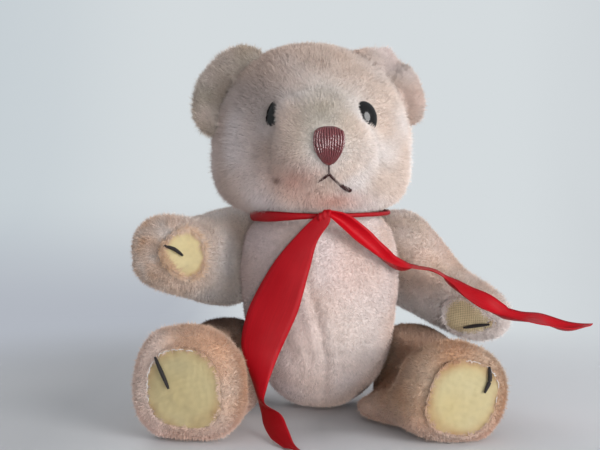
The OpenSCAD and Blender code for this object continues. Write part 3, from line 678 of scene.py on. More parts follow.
# Bulges, and hollows below 0: height, then the place and its reach
for height, *place in ((4.4, -16.4, 143, 3.9, 8.5), (1.6, 16.0, 132, 6, 9), (1.4, -13, 126, 8, 9),
                       (-2.6, *EYES["right_eye"][:2], 4.4, 6), (-2.6, *EYES["left_eye"][:2], 5.5, 6.8),
                       (0.9, 24, 150.5, 9, 3), (0.8, -25, 150.5, 8, 3), (-0.9, 2.3, 116, 1.6, 5)):
    off = off + height * (ahead * oval(V, *place))
press("head_cover", off + 0.5 * noise(V, 17, 33) + 0.25 * noise(V, 7, 34))

for i, name in enumerate(LIMBS):
    V, N = skins[name]["V"], skins[name]["N"]
    off = 0.45 * noise(V, 14, 40 + i) + 0.2 * noise(V, 6, 50 + i)
    if name == "right_arm_cover":
        off = off + 2.0 * ramp(-N[:, 2], 0.15, 0.5) * ramp(-V[:, 0], 36 * MM, 10 * MM)
    if name == "right_leg_cover":
        off = off + 2.6 * ramp(-N[:, 0], 0.2, 0.5) * ramp(-V[:, 1], 30 * MM, 25 * MM)
    press(name, off)
for name in EARS:
    press(name, 0.3 * noise(skins[name]["V"], 7, 60))
for s in skins.values():
    s["V"][:, 2] = np.maximum(s["V"][:, 2], CLOTH_GAP)
    s["tree"] = tree_of(s["V"], s["T"])

# ---------------------------------------------------------------- pads
pads = {}
RIM_AT = np.linspace(-math.pi, math.pi, 49)
for cover, name in PADS.items():
    s = skin(name, 0.55 * MM, 5, hollow=False)
    V = s["V"]
    c = V.mean(0)
    flattest = np.linalg.svd(V - c, full_matrices=False)[2][2]
    out = flattest * np.sign(flattest @ (c - middle(BODY[cover] + "_disc")))
    side = unit(np.cross(out, UP))
    up = np.cross(side, out)
    flat = np.stack([(V - c) @ side, (V - c) @ up], 1)
    puff = 0.35 * noise(V, 5, 71) + 0.16 * noise(V, 2.2, 72)
    s["V"] = V + out * (puff * MM)[:, None]
    s["V"][:, 2] = np.maximum(s["V"][:, 2], FLOOR_GAP)
    s["N"] = vertex_normals(s["V"], s["T"])
    # How far the rim is from the middle, at angles in the pad's own plane
    th, reach = np.arctan2(flat[:, 1], flat[:, 0]), np.linalg.norm(flat, axis=1)
    rim = [reach[np.abs((th - a + math.pi) % (2 * math.pi) - math.pi) < 0.14].max() for a in RIM_AT]
    s.update(centre=c, out=out, side=side, up=up, flat=flat, r=reach / np.abs(flat).max(), rim=np.array(rim),
             tree=tree_of(s["V"], s["T"]))
    pads[name] = s


def pad_colour(s, name):
    V = s["V"]
    c = mix(lin(216, 198, 148), lin(214, 200, 156), 0.5 + 0.6 * noise(V, 9, 81))
    c = mix(c, lin(190, 150, 106), ramp(s["r"], 0.62, 0.4) * (0.65 + 0.6 * noise(V, 5, 82)))
    if name == "left_paw_pad":
        c = mix(c, lin(222, 204, 170), 0.6)
    if name == "right_paw_pad":
        c = c * 1.18
    if name == "right_foot_pad":
        c = mix(c, lin(190, 172, 128), 0.35)
    return shaded(c, -0.05 * noise(V, 1.6, 83))


for name, s in pads.items():
    piece(name + "_cloth", s["V"], s["T"], COARSE if name == "left_paw_pad" else WEAVE, PAD_BODY[name],
          "pad_weave", [name], pad_colour(s, name), s["flat"])

# ---------------------------------------------------------------- eyes
DOMES = {}


def dome(n):
    """A polished oval button, sunk into its socket."""
    x, z, rx, rz, tilt, sunk = EYES[n]
    c = front("head_cover", x, z) + np.array([0, sunk * MM, 0])
    out = unit(np.array([0.018 * x, -1.0, 0.06]))
    a = unit(np.cross(out, UP))
    b = np.cross(a, out)
    ct, st = math.cos(math.radians(tilt)), math.sin(math.radians(tilt))
    a, b = a * ct + b * st, b * ct - a * st
    DOMES[n] = (c, a / (rx * MM), b / (rz * MM), out / (EYE_DEPTH * MM))
    rings, sides = 16, 48
    P = [c + out * EYE_DEPTH * MM]
    for i in range(1, rings):
        ph = math.pi * i / rings
        for j in range(sides):
            th = 2 * math.pi * j / sides
            rim = a * math.cos(th) * rx + b * math.sin(th) * rz
            P.append(c + (out * math.cos(ph) * EYE_DEPTH + rim * math.sin(ph)) * MM)
    P.append(c - out * EYE_DEPTH * MM)
    F = [(0, 1 + j, 1 + (j + 1) % sides) for j in range(sides)]
    for i in range(rings - 2):
        for j in range(sides):
            k = (j + 1) % sides
            F.append((1 + i * sides + j, 1 + (i + 1) * sides + j, 1 + (i + 1) * sides + k, 1 + i * sides + k))
    last = 1 + (rings - 2) * sides
    F += [(last + j, len(P) - 1, last + (j + 1) % sides) for j in range(sides)]
    piece(n + "_dome", np.array(P), F, EYE, "head", "eye", [n], outward=True)


for n in EYES:
    dome(n)

# ---------------------------------------------------------------- nose
NOSE_AT, NOSE_W, NOSE_H = (2.7, 128.4), 6.9, 16.8
# Down the nose from 0 to 1, and its half width there
SHIELD = [(0, 0.62), (0.04, 0.8), (0.12, 0.93), (0.24, 1.0), (0.42, 0.98), (0.58, 0.9), (0.72, 0.76), (0.84, 0.56),
          (0.93, 0.36), (1, 0.14)]


def shield(v):
    """Half width of the nose, as a share, at v from 0 at its top to 1 at its point."""
    return np.interp(v, *zip(*SHIELD))


def nose_point(u, v, lift=0.0):
    """A point of the nose's padded surface; u runs from -1 to 1 across it."""
    x = NOSE_AT[0] + u * shield(v) * NOSE_W
    z = NOSE_AT[1] + NOSE_H * (0.5 - v) + 0.5 * (1 - u * u) * (1 - v) ** 3
    down = max(0.0, math.sin(math.pi * min(1, max(0, 0.06 + 0.9 * v)))) ** 0.3
    padding = (max(0.0, 1 - u * u) ** 0.5) * min(1.0, down)
    return front("head_cover", x, z) + np.array([0, -(0.5 + 2.6 * padding + lift), 0]) * MM


nu, nv = 22, 30
base = np.array([nose_point(-1 + 2 * i / nu, j / nv) for j in range(nv + 1) for i in range(nu + 1)])
NOSE_BASE = (np.vstack([base, base + np.array([0, 5 * MM, 0])]), two_layers(nv + 1, nu + 1))


# ---------------------------------------------------------------- pile
# Painted shade at the roots of the tufts and painted light at their tips, as factors on their colour
ROOT_SHADE_TONE, TIP_LIGHT_TONE, MOST_TINT = 0.90, 1.05, 0.95


def sample(s, count, rng):
    """Points and normals spread evenly over a skin."""
    V, T = s["V"], s["T"]
    cum = np.cumsum(np.linalg.norm(crosses(V, T), axis=1))
    t = (np.arange(count) + rng.random(count)) / count * cum[-1]
    f = np.minimum(np.searchsorted(cum, t), len(T) - 1)
    u, v = rng.random(count), rng.random(count)
    flip = u + v > 1
    u[flip], v[flip] = 1 - u[flip], 1 - v[flip]
    w = np.stack([1 - u - v, u, v], 1)[:, :, None]
    return (V[T[f]] * w).sum(1), unit((s["N"][T[f]] * w).sum(1))


def clumps(s, pitch, P, rng):
    """For each root, the middle of the clump it belongs to, that clump's normal and a random number of its own."""
    area = np.linalg.norm(crosses(s["V"], s["T"]), axis=1).sum() / 2
    C, CN = sample(s, max(20, int(area / pitch ** 2)), rng)
    kd = KDTree(len(C))
    for i, c in enumerate(C):
        kd.insert(c, i)
    kd.balance()
    near = np.array([kd.find(q)[1] for q in P])
    return C[near], CN[near], rng.random(len(C))[near]


def blades(root, W, tip, N, low=None):
    """Triangles as wide as W at the root, with N on their front; low is the least height of their points."""
    V = np.stack([root - W / 2, root + W / 2, tip], 1)
    if low is not None:
        V[:, :, 2] = np.maximum(V[:, :, 2], low)
    swap = np.sum(np.cross(V[:, 1] - V[:, 0], V[:, 2] - V[:, 0]) * N, 1) < 0
    V[swap, :2] = V[swap, :2][:, ::-1]
    return V.reshape(-1, 3), np.arange(len(V) * 3, dtype=np.int32).reshape(-1, 3)


def pile(node_name, count, seed, lean, length, colour, comb, width, avoid):
    """Short tufts over a skin: thin blades that lean along comb and gather in clumps, coloured one by one."""
    s = skins[node_name]
    rng = np.random.default_rng(seed)
    P, N = sample(s, count, rng)
    keep = np.ones(count, bool) if avoid is None else ~avoid(P)
    L = length(P) * MM * (0.65 + 0.6 * rng.random(count))
    # Tufts are shorter where another body is close
    others = [skins[o]["tree"] for o in skins if BODY[o] != BODY[node_name]]
    for i in np.flatnonzero(keep):
        p = Vector(P[i]) + Vector(N[i]) * 0.0005
        for t in others:
            hit = t.find_nearest(p, 0.004)
            if hit[0] is not None:
                L[i] = min(L[i], 0.0006 + 0.55 * hit[3])
    P, N, L = P[keep], N[keep], L[keep]
    m = len(P)
    # Lean: combed direction, swirled by noise, plus a share of random; a few hairs stray
    D = (comb(P) + 0.7 * noise3(P, 9, seed + 1) + 0.35 * noise3(P, 2.6, seed + 4)
         + 0.55 * rng.normal(size=(m, 3)))
    D = unit(D - N * np.sum(D * N, 1, keepdims=True))
    ang = lean + 0.35 * rng.normal(size=m) * 0.7 + 0.2 * noise(P, 4, seed + 7)
    stray = rng.random(m) < 0.05
    ang = np.where(stray, ang * 0.4, ang)
    L = np.where(stray, L * 1.25, L)
    ang = np.clip(ang, 0.1, 1.36)[:, None]
    tip = P + (N * np.cos(ang) + D * np.sin(ang)) * L[:, None]
    # Tips of a clump draw together
    Q, QN, own = clumps(s, 1.9 * MM, P, rng)
    off = tip - (Q + QN * L[:, None] * 0.7)
    off = off - QN * np.sum(off * QN, 1, keepdims=True)
    tip = tip - off * np.where(stray, 0.0, 0.16 + 0.22 * own)[:, None]
    G = unit(tip - P)
    W = unit(np.cross(N, G) + 0.16 * rng.normal(size=(m, 3)))
    W = unit(W - G * np.sum(W * G, 1, keepdims=True)) * (width * MM * (0.7 + 0.6 * rng.random(m)))[:, None]
    root = P - N * 0.5 * MM
    tip[:, 2] = np.maximum(tip[:, 2], FLOOR_GAP)
    root[:, 2] = np.maximum(root[:, 2], ROOT_GAP)
    V, F = blades(root, W, tip, N)
    tone = colour(P) * (0.93 + 0.08 * rng.random(m) + 0.06 * own)[:, None]
    # Each blade: painted shade at its two root points, painted light at its tip
    rgb = np.stack([tone * ROOT_SHADE_TONE, tone * ROOT_SHADE_TONE, tone * TIP_LIGHT_TONE], 1).reshape(-1, 3)
    piece(node_name.replace("_cover", "") + "_pile", V, F, PILE, BODY[node_name], "plush",
          tint=np.clip(rgb, 0, MOST_TINT), smooth=False)


def cover(node_name, colour):
    """The cloth under the pile, as its own closed piece."""
    s = skins[node_name]
    stands_for = [node_name]
    if node_name.endswith("_cover"):
        stands_for.append(node_name.replace("_cover", "_stuffing"))
    ob = piece(node_name + "_cloth", s["V"] - s["N"] * 0.1 * MM, s["T"], BACKING, BODY[node_name], "plush",
               stands_for, colour(s["V"]) * 0.85)


def towards(v):
    return lambda P: np.repeat(np.array(v, float)[None], len(P), 0)


def from_nose(P):
    """Brushed out from the nose, and in over the edges of the eyes."""
    d = 0.9 * unit(P - (nose_c + np.array([0, 5 * MM, 0]))) + np.array([0, 0, -0.25])
    for ex, ez, *_ in EYES.values():
        to = np.array([ex * MM, 0, ez * MM]) - P * np.array([1, 0, 1])
        w = np.exp(-((np.linalg.norm(to, axis=1) - 5.5 * MM) / (2.2 * MM)) ** 2) * (P[:, 1] < 0)
        d = d + 1.6 * w[:, None] * unit(to)
    return d


def rim_of(s, ang):
    """How far a pad's rim is from its middle, at angles in its own plane."""
    return np.interp(ang, RIM_AT, s["rim"])


def at_pad(s, P):
    """How far each point is from a pad's middle, how far the rim is there, and whether the pad is near."""
    d = P - s["centre"]
    flat = np.stack([d @ s["side"], d @ s["up"]], 1)
    rim = rim_of(s, np.arctan2(flat[:, 1], flat[:, 0]))
    return np.linalg.norm(flat, axis=1), rim, np.abs(d @ s["out"]) < 9 * MM


def over_pad(name, base):
    """Combed along base, and in over the rim of a pad."""
    s = pads[name]

    def f(P):
        r, rim, near = at_pad(s, P)
        w = smooth01(1 - (r - rim) / (3.0 * MM)) * near
        return np.asarray(base) * (1 - 0.5 * w[:, None]) + 1.5 * w[:, None] * unit(s["centre"] - P)
    return f


def bald_pad(s):
    """Roots under a pad, leaving some that lap over its edge."""
    def f(P):
        r, rim, near = at_pad(s, P)
        return near & (r < rim * 0.96)
    return f


def bald_face(P):
    """Roots under the eyes and the nose."""
    x, z = P[:, 0] / MM, P[:, 2] / MM
    out = np.zeros(len(P), bool)
    for c, a, b, o in DOMES.values():
        d = P - c
        out |= (d @ a) ** 2 + (d @ b) ** 2 + (d @ o) ** 2 < 1
    v = 0.5 - (z - NOSE_AT[1]) / NOSE_H
    width = shield(np.clip(v, 0, 1)) * NOSE_W * 1.02
    return out | ((v > -0.03) & (v < 1.02) & (np.abs(x - NOSE_AT[0]) < width) & (P[:, 1] < 0))


def head_length(P):
    L = 2.4 + 0.4 * noise(P, 8, 91) + 0.7 * ramp(np.abs(P[:, 0]), 24 * MM, 12 * MM)
    d = np.linalg.norm(P - nose_c, axis=1)
    L = L - 1.1 * np.exp(-(d / (11 * MM)) ** 2)
    for ex, ez, *_ in EYES.values():
        L = L - 0.8 * np.exp(-(np.hypot(P[:, 0] / MM - ex, P[:, 2] / MM - ez) / 8) ** 2) * (P[:, 1] < 0)
    return np.maximum(L * (1 - 0.5 * near_line(P, MUZZLE, 1.8)), 1.0)


def torso_length(P):
    L = 1.45 + 0.2 * noise(P, 9, 92)
    L = L * (1 - 0.5 * near_line(P, SEAM, 1.6))
    L = L * (1 - 0.6 * smooth01((P[:, 2] - torso_hi[2] + 8 * MM) / (5 * MM)))
    return np.maximum(L, 0.8)


def ear_length(most, seed):
    return lambda P: most + 0.5 * noise(P, 5, seed)


def limb_length(pad, longer):
    """Longer by up to longer millimetres near the pad."""
    def f(P):
        grow = np.exp(-(np.linalg.norm(P - middle(pad), axis=1) / (26 * MM)) ** 2)
        return np.maximum(1.7 + longer * grow + 0.35 * noise(P, 5, 93), 1.0)
    return f


# Skin, tufts, seed, lean in radians, length, colour, and the way they are combed
jobs = [
    ("torso_cover", 146000, 101, 0.95, torso_length, torso_colour, towards([0.1, 0, -1.0])),
    ("head_cover", 190000, 102, 0.85, head_length, head_colour, from_nose),
    ("right_ear", 34000, 103, 0.85, ear_length(3.4, 94), ear_colour, towards([-0.6, 0, 0.6])),
    ("left_ear", 34000, 104, 0.85, ear_length(2.9, 95), ear_colour, towards([0.6, 0, 0.6])),
]
for name, seed, comb in (("right_arm_cover", 105, [-1.0, -0.3, -0.1]), ("left_arm_cover", 106, [0.9, -0.4, -0.4]),
                         ("right_leg_cover", 107, [-0.2, -1.0, -0.2]), ("left_leg_cover", 108, [0.2, -1.0, -0.2])):
    side, limb, _ = name.split("_")
    count, lean, longer, colour = (77000, 0.85, 1.5, arm_colour) if limb == "arm" else (112000, 0.88, 1.2, leg_colour)
    jobs.append((name, count, seed, lean, limb_length(PADS[name], longer), colour(side), over_pad(PADS[name], comb)))

share, width = ((1.0, 0.27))
for name, count, *brush, colour, comb in jobs:
    avoid = bald_pad(pads[PADS[name]]) if name in PADS else bald_face if name == "head_cover" else None
    cover(name, colour)
    pile(name, int(count * share), *brush, colour, comb, width, avoid)


# ---------------------------------------------------------------- threads
def tube(path, radius, sides=10, ply=0):
    """Points and quads of a thread along a path; ply > 0 gives it a twist of that many strands."""
    path = np.asarray(path)
    t = unit(np.gradient(path, axis=0))
    a = unit(np.cross(t, np.array([0.3, 0.2, 1.0])))
    b = np.cross(t, a)
    turns = steps_along(path) / (2.2 * MM)
    ang = np.arange(sides) * 2 * np.pi / sides
    rings = []
    for i in range(len(path)):
        strands = 0.22 * np.abs(np.cos(ply * (ang - turns[i] * 2 * np.pi) / 2)) - 0.14 if ply else 0 * ang
        r = ((radius[i] if np.ndim(radius) else radius) * (1 + strands))[:, None]
        rings.append(path[i] + r * (np.cos(ang)[:, None] * a[i] + np.sin(ang)[:, None] * b[i]))
    V = np.vstack(rings + [path[:1], path[-1:]])
    n, F = len(path), []
    for i in range(n - 1):
        for j in range(sides):
            k = (j + 1) % sides
            F.append((i * sides + j, i * sides + k, (i + 1) * sides + k, (i + 1) * sides + j))
    for j in range(sides):
        k = (j + 1) % sides
        F.append((n * sides, k, j))
        F.append((n * sides + 1, (n - 1) * sides + j, (n - 1) * sides + k))
    return V, F


def joined(parts):
    V, F, base = [], [], 0
    for v, f in parts:
        V.append(v)
        F += [tuple(i + base for i in q) for q in f]
        base += len(v)
    return np.vstack(V), F


def centre_line(n, stations=5):
    """The middle of a CAD thread, from one end to the other."""
    V, _ = arrays(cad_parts[n].data)
    c = V.mean(0)
    t = (V - c) @ np.linalg.svd(V - c, full_matrices=False)[2][0]
    edges = np.linspace(t.min(), t.max(), stations + 1)
    slices = [V[(t >= a - 1e-9) & (t <= b + 1e-9)] for a, b in zip(edges[:-1], edges[1:])]
    return np.array([part.mean(0) for part in slices if len(part)])


for pad, body in PAD_BODY.items():
    n = pad.replace("_pad", "_claw")
    line = curve_through(centre_line(n), 12)
    swell = np.sin(np.pi * np.clip(np.linspace(0, 1, len(line)), 0.02, 0.98)) ** 0.6
    V, F = tube(line, 0.85 * MM * (0.45 + 0.6 * swell), 12, 2)
    piece(n + "_thread", V, F, CLAW, body, "claw_thread", [n])


def loose_stitches(pad, start, end, count, seed):
    """Worn ends of pale thread along part of a pad's rim, by angle in degrees."""
    s, rng = pads[pad], np.random.default_rng(seed)
    parts = []
    for i in range(count):
        th = math.radians(start + (end - start) * (i + 0.7 * rng.random()) / count)
        span = 0.10 + 0.14 * rng.random()
        line = []
        for f in np.linspace(0, 1, 7):
            a, arch = th + (f - 0.5) * span, math.sin(math.pi * f)
            r = rim_of(s, (a + math.pi) % (2 * math.pi) - math.pi) * (1.0 + 0.16 * (rng.random() - 0.4) * arch)
            p = s["centre"] + s["side"] * r * math.cos(a) + s["up"] * r * math.sin(a)
            hit = s["tree"].find_nearest(Vector(p + s["out"] * 2 * MM))[0]
            line.append(np.array(hit) + s["out"] * (0.5 + 0.5 * arch * rng.random()) * MM)
        parts.append(tube(curve_through(line, 3), 0.14 * MM, 7, 2))
    piece(pad + "_loose_thread", *joined(parts), WHITE, PAD_BODY[pad])


def rim_pile(pad, count, length, colour, seed):
    """Worn pile that laps in over the rim of a pad, in loose tufts."""
    s, rng = pads[pad], np.random.default_rng(seed)
    th = rng.uniform(-math.pi, math.pi, count)
    tuft = np.clip(0.5 + 0.5 * np.sin(th * 13 + 3 * np.sin(th * 5 + seed)) + 0.35 * np.sin(th * 29 + seed), 0, 1)
    r = rim_of(s, th) * (0.94 + 0.13 * rng.random(count))
    dirs = np.cos(th)[:, None] * s["side"] + np.sin(th)[:, None] * s["up"]
    along = -np.sin(th)[:, None] * s["side"] + np.cos(th)[:, None] * s["up"]
    root = s["centre"] + dirs * r[:, None] - s["out"] * 0.3 * MM
    root = np.array([np.array(s["tree"].find_nearest(Vector(q))[0]) for q in root]) - s["out"] * 0.2 * MM
    inward = rng.uniform(-1.0, 1.0, count) + 0.5 * tuft - 0.2
    lie = 0.45 + 0.7 * rng.random(count)
    turn = 0.6 * rng.normal(size=count) + 0.6 * np.sin(th * 19 + 2)
    G = unit(-dirs * inward[:, None] + s["out"] * lie[:, None] + along * turn[:, None])
    tip = root + G * (length * MM * (0.35 + 0.65 * rng.random(count)) * (0.45 + 0.75 * tuft))[:, None]
    W = unit(np.cross(G, s["out"])) * (0.30 * MM)
    V, F = blades(root, W, tip, s["out"], FLOOR_GAP)
    base = colour(root)
    if pad == "right_paw_pad":
        base = mix(base, lin(222, 186, 146), 0.6 * tuft)
    rgb = np.repeat(base * (0.86 + 0.2 * rng.random(count))[:, None], 3, 0)
    piece(pad + "_rim_pile", V, F, PILE, PAD_BODY[pad], "plush", tint=np.clip(rgb, 0, MOST_TINT), smooth=False)


rim_pile("right_paw_pad", 5200, 5.2, arm_colour("right"), 401)
rim_pile("left_paw_pad", 2600, 3.8, arm_colour("left"), 402)
rim_pile("right_foot_pad", 3200, 2.6, leg_colour("right"), 403)
rim_pile("left_foot_pad", 3200, 2.8, leg_colour("left"), 404)
loose_stitches("right_foot_pad", -20, 110, 11, 301)
loose_stitches("left_foot_pad", 90, 190, 6, 302)


def on_head(lift, *places):
    """A smooth line over the face, lifted off it by millimetres."""
    return curve_through([p + np.array([0, -lift * MM, 0]) for p in on_front("head_cover", *places)], 8)


# Mouth: two long stitches that meet below the nose
drop = on_head(1.6, (2.7, 121.0), (2.8, 119.4), (2.9, 117.6), (3.0, 115.9))
left = on_head(1.4, (3.0, 116.0), (1.1, 114.7), (-0.4, 113.7), (-1.9, 112.6))
right = on_head(1.6, (3.0, 116.1), (5.4, 113.8), (8.1, 111.6), (10.6, 109.8), (13.2, 108.5))
heavier = smooth01((np.linspace(0, 1, len(right)) - 0.3) / 0.5)
parts = [tube(left, np.linspace(0.72, 0.6, len(left)) * MM, 10, 2), tube(drop, 0.34 * MM, 10, 2),
         tube(right, (0.68 + 0.42 * heavier) * MM, 10, 2)]
piece("mouth_thread", *joined(parts), MOUTH, "head", "mouth_thread", ["mouth_stitches"])

# Nose: upright satin stitches over the padded base, drawn together at its point
rng = np.random.default_rng(77)
parts = [NOSE_BASE]
count = 12
for i in range(count):
    u = -0.94 + 1.88 * i / (count - 1)
    v0, v1 = 0.02 + 0.03 * rng.random() + 0.07 * abs(u) ** 3, 0.99 - 0.05 * abs(u)
    vs = np.linspace(v0, v1, 34)
    line = np.array([nose_point(u + 0.02 * math.sin(9 * v + i), v, 0.18 + 0.25 * rng.random() * (1 - abs(2 * v - 1)))
                     for v in vs])
    line = np.vstack([line[:1] + np.array([0, 1.6 * MM, 0.2 * MM]), line, line[-1:] + np.array([0, 1.6 * MM, 0])])
    r = np.maximum(0.3, shield(vs) * NOSE_W / count * (0.92 + 0.16 * rng.random()))
    parts.append(tube(line, np.concatenate([[0.3], r, [0.25]]) * MM, 10))
piece("nose_thread", *joined(parts), NOSE, "head", "nose_thread", ["nose_stitches"], outward=True)


# ---------------------------------------------------------------- ribbon
UV_WIDTH = 18 * MM


def ribbon(stations, seed, gathered=0.0, steps=8, across=9, curl=0.9, thick=0.3):
    """A strip between two edges given in millimetres. It curls across, more where it is gathered in."""
    st = np.array(stations, float) * MM
    l, r = curve_through(st[:, 0], steps), curve_through(st[:, 1], steps)
    n = len(l)
    mid = (l + r) / 2
    face = unit(np.cross(unit(np.gradient(mid, axis=0)), r - l))
    length = steps_along(mid)
    V, UV = [], []
    for side in (1, -1):
        for i in range(n):
            w = np.linalg.norm(r[i] - l[i])
            spare = max(0.0, gathered * MM / max(w, 6 * MM) - 1)
            slack = w * math.sqrt(0.375 * spare) * min(1, (n - 1 - i) / (0.1 * n))
            bow = max(curl * MM * min(1, w / UV_WIDTH), slack)
            for k in np.linspace(0, 1, across):
                p = l[i] * (1 - k) + r[i] * k
                V.append(p + face[i] * (bow * math.sin(math.pi * k) + side * thick * MM / 2))
                UV.append(((k - 0.5) * UV_WIDTH, length[i]))
    V, UV = np.array(V), np.array(UV)
    ripple = 0.35 * noise(np.stack([UV[:, 0] * 0.6, UV[:, 1], UV[:, 0] * 0], 1), 7, seed)
    V = V + np.tile(np.repeat(face, across, 0), (2, 1)) * (ripple * MM)[:, None]
    V[:, 2] = np.maximum(V[:, 2], FLOOR_GAP)
    return V, two_layers(n, across), UV, float(length[-1])


def satin(name, V, F, UV, body=None, stands_for=()):
    red = np.repeat(lin(156, 3, 18)[None], len(V), 0) * (1.3 if name == "ribbon_tail_left" else 1.0)
    red = mix(red, lin(180, 8, 26), 0.6 * ramp(np.abs(UV[:, 0]), 7.6 * MM, 1.2 * MM))
    return piece(name, V, F, SATIN, body, "ribbon", stands_for, red, UV, outward=True)


TAIL_RIGHT = [
    [(0.4, -41.6, 98.9), (3.6, -42.2, 98.2)], [(-3.6, -40.8, 96.0), (3.6, -42.0, 93.8)],
    [(-11, -38.8, 88.5), (-2.0, -40.8, 85)], [(-21.5, -36.4, 76), (-5.6, -39.9, 72)],
    [(-30.5, -35, 61), (-10.5, -40.2, 54)], [(-35.4, -36.0, 49), (-15.5, -40, 42)],
    [(-37.4, -37.4, 36), (-20.5, -41, 31)], [(-33.5, -40, 24), (-25, -48, 19)], [(-30.5, -44, 16.5), (-26, -58, 14)],
    [(-27.5, -56, 9.4), (-18.5, -66, 11)], [(-26, -63, 5), (-15, -74, 6)], [(-22.5, -73, 2), (-12, -84, 2)],
    [(-17, -83, 0.6), (-7, -94, 0.6)]]
TAIL_LEFT = [
    [(2.4, -42.0, 100.0), (2.8, -42.6, 97.4)], [(12, -40.2, 97.6), (9.2, -41.6, 91.6)],
    [(22.3, -34.8, 89.8), (16.5, -39.2, 85.1)], [(31.4, -28.0, 80.9), (27.1, -34.0, 77.4)],
    [(38, -20, 75.3), (36.7, -27, 72.4)], [(47.8, -7, 70.6), (45.9, -22, 70.8)],
    [(56.4, -8, 69.3), (53.3, -24, 69.7)], [(61.9, -14, 66.4), (60.6, -26, 65.6)],
    [(71.7, -22, 62.3), (66.8, -32, 59.3)], [(79.9, -27, 58.9), (74, -36, 54)], [(86.4, -30, 54.3), (82.1, -38, 51)],
    [(90, -31, 52.1), (86.5, -40.5, 50.2)], [(103.5, -33, 50.4), (100.2, -45, 47)],
    [(115.5, -37, 47.2), (112.9, -46, 45.9)], [(125.7, -40, 46.9), (123.2, -44.5, 46.6)]]
V, F, UV, length = ribbon(TAIL_RIGHT, 201)
tail_r = satin("ribbon_tail_right", V, F, UV, "torso")
V, F, UV, length = ribbon(TAIL_LEFT, 202, gathered=13.0)
tail_l = satin("ribbon_tail_left", V, F, UV)
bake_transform(tail_l)

# The band round the neck, folded on itself. Its section: out from its radius, and up
radius = 34.4 * MM
zc = torso_hi[2] - 1.4 * MM
SECTION = np.array([(-0.2, -2.6), (0.5, -1.4), (0.75, 0.2), (0.5, 1.8), (0.0, 2.9), (-0.35, 1.8), (-0.25, 0.2),
                    (-0.35, -1.4), (-0.6, -2.4), (-0.9, -1.2), (-0.9, 1.2), (-0.7, 2.5)])
around = 120
arc = steps_along(SECTION) * MM
V, UV = [], []
for side in (1, -1):
    for i in range(around):
        a = 2 * math.pi * i / around
        lift = 0.5 * math.sin(2 * a + 1) + 0.3 * math.sin(5 * a)
        # It stands out in front, over the chest, and is narrower and higher at the bear's left
        in_front = 3.0 * MM * max(0.0, -math.sin(a)) ** 3
        slim = 1 - 0.6 * smooth01(0.3 + math.cos(a + 0.6))
        for k, (dr, dz) in enumerate(SECTION):
            rr = radius + dr * MM * 0.8 + side * 0.12 * MM + in_front
            z = zc + (dz * 0.95 * slim + lift * 0.3 + 2.2 * (1 - slim)) * MM
            V.append((rr * math.cos(a), rr * math.sin(a), z))
            UV.append((arc[k] - arc[-1] / 2, radius * a))
band = satin("ribbon_band", np.array(V), two_layers(around, len(SECTION), closed=True), np.array(UV), "torso",
             ["neck_ribbon"])

# The knot: one turn of ribbon pulled tight, with creases across it
V, UV, F = [], [], []
nu, nv = 40, 14
for i in range(nu):
    a = 2 * math.pi * i / nu
    for k in range(nv):
        f = k / (nv - 1)
        w = (f - 0.5) * 2
        crease = 0.28 * math.sin(5 * math.pi * f + 0.6 * math.sin(a)) + 0.15 * math.sin(9 * f + 2 * a)
        pinch = 1 - 0.25 * w * w
        rx, rz = (2.6 + crease) * pinch, (2.9 + crease) * pinch
        V.append(((1.4 + 2.9 * w + 0.4 * math.cos(a)) * MM, (-40.5 + rx * math.cos(a) * 0.9) * MM,
                  (97.1 + rz * math.sin(a) * 0.86 + 0.9 * w) * MM))
        UV.append(((f - 0.5) * UV_WIDTH, a * 4.5 * MM))
for i in range(nu):
    j = (i + 1) % nu
    F += [(i * nv + k, j * nv + k, j * nv + k + 1, i * nv + k + 1) for k in range(nv - 1)]
F.append(tuple(i * nv for i in range(nu)))
F.append(tuple(i * nv + nv - 1 for i in reversed(range(nu))))
satin("ribbon_knot", np.array(V), F, np.array(UV), "torso")


# ---------------------------------------------------------------- stage, light and camera
def looked_at(nt):
    """1 for the rays that show the background itself: from the eye, or through a mirror or glass."""
    rays = node(nt, "ShaderNodeLightPath").outputs
    first = maths(nt, "MAXIMUM", rays["Is Camera Ray"], rays["Is Glossy Ray"])
    return maths(nt, "MAXIMUM", first, rays["Is Transmission Ray"])


def mixed(nt, fac, one, other, output):
    both = node(nt, "ShaderNodeMixShader", fac, one, other)
    nt.links.new(both.outputs["Shader"], nt.nodes[output].inputs["Surface"])


# Far from the bear the paper glows with its painted colour for the rays that see it: painted light
STAGE, nt, b = material("stage", lin(208, 212, 215), 0.9, 0.0, 0.1)
tinted(nt, b, 3.0, 0.985, 1.015)
away = node(nt, "ShaderNodeAttribute", attribute_name="away").outputs["Fac"]
paper = node(nt, "ShaderNodeAttribute", attribute_name="paper").outputs["Color"]
glow = node(nt, "ShaderNodeEmission", paper, Strength=1.0).outputs["Emission"]
mixed(nt, maths(nt, "MULTIPLY", looked_at(nt), away), b.outputs["BSDF"], glow, "Material Output")

# A seamless sheet of paper: a floor that runs up into a wall far behind
wall_y, bend_r, far = 1.6, 0.5, 3.0
near = np.linspace(-0.5, 0.5, 41)
prof = [(y, 0.0) for y in (-far, -1.2, *near, 0.8)]
for a in np.linspace(0, math.pi / 2, 13):
    prof.append((wall_y - bend_r + bend_r * math.sin(a), bend_r - bend_r * math.cos(a)))
prof.append((wall_y, far))
xs = np.concatenate([[-far, -1.2, -0.8], near, [0.8, 1.2, far]])
V = np.array([(x, y, z) for y, z in prof for x in xs])
F = [(i * len(xs) + j, i * len(xs) + j + 1, (i + 1) * len(xs) + j + 1, (i + 1) * len(xs) + j)
     for i in range(len(prof) - 1) for j in range(len(xs) - 1)]
stage = new_mesh("stage_sweep", V, F)
PAPER = lin(208, 214, 218)
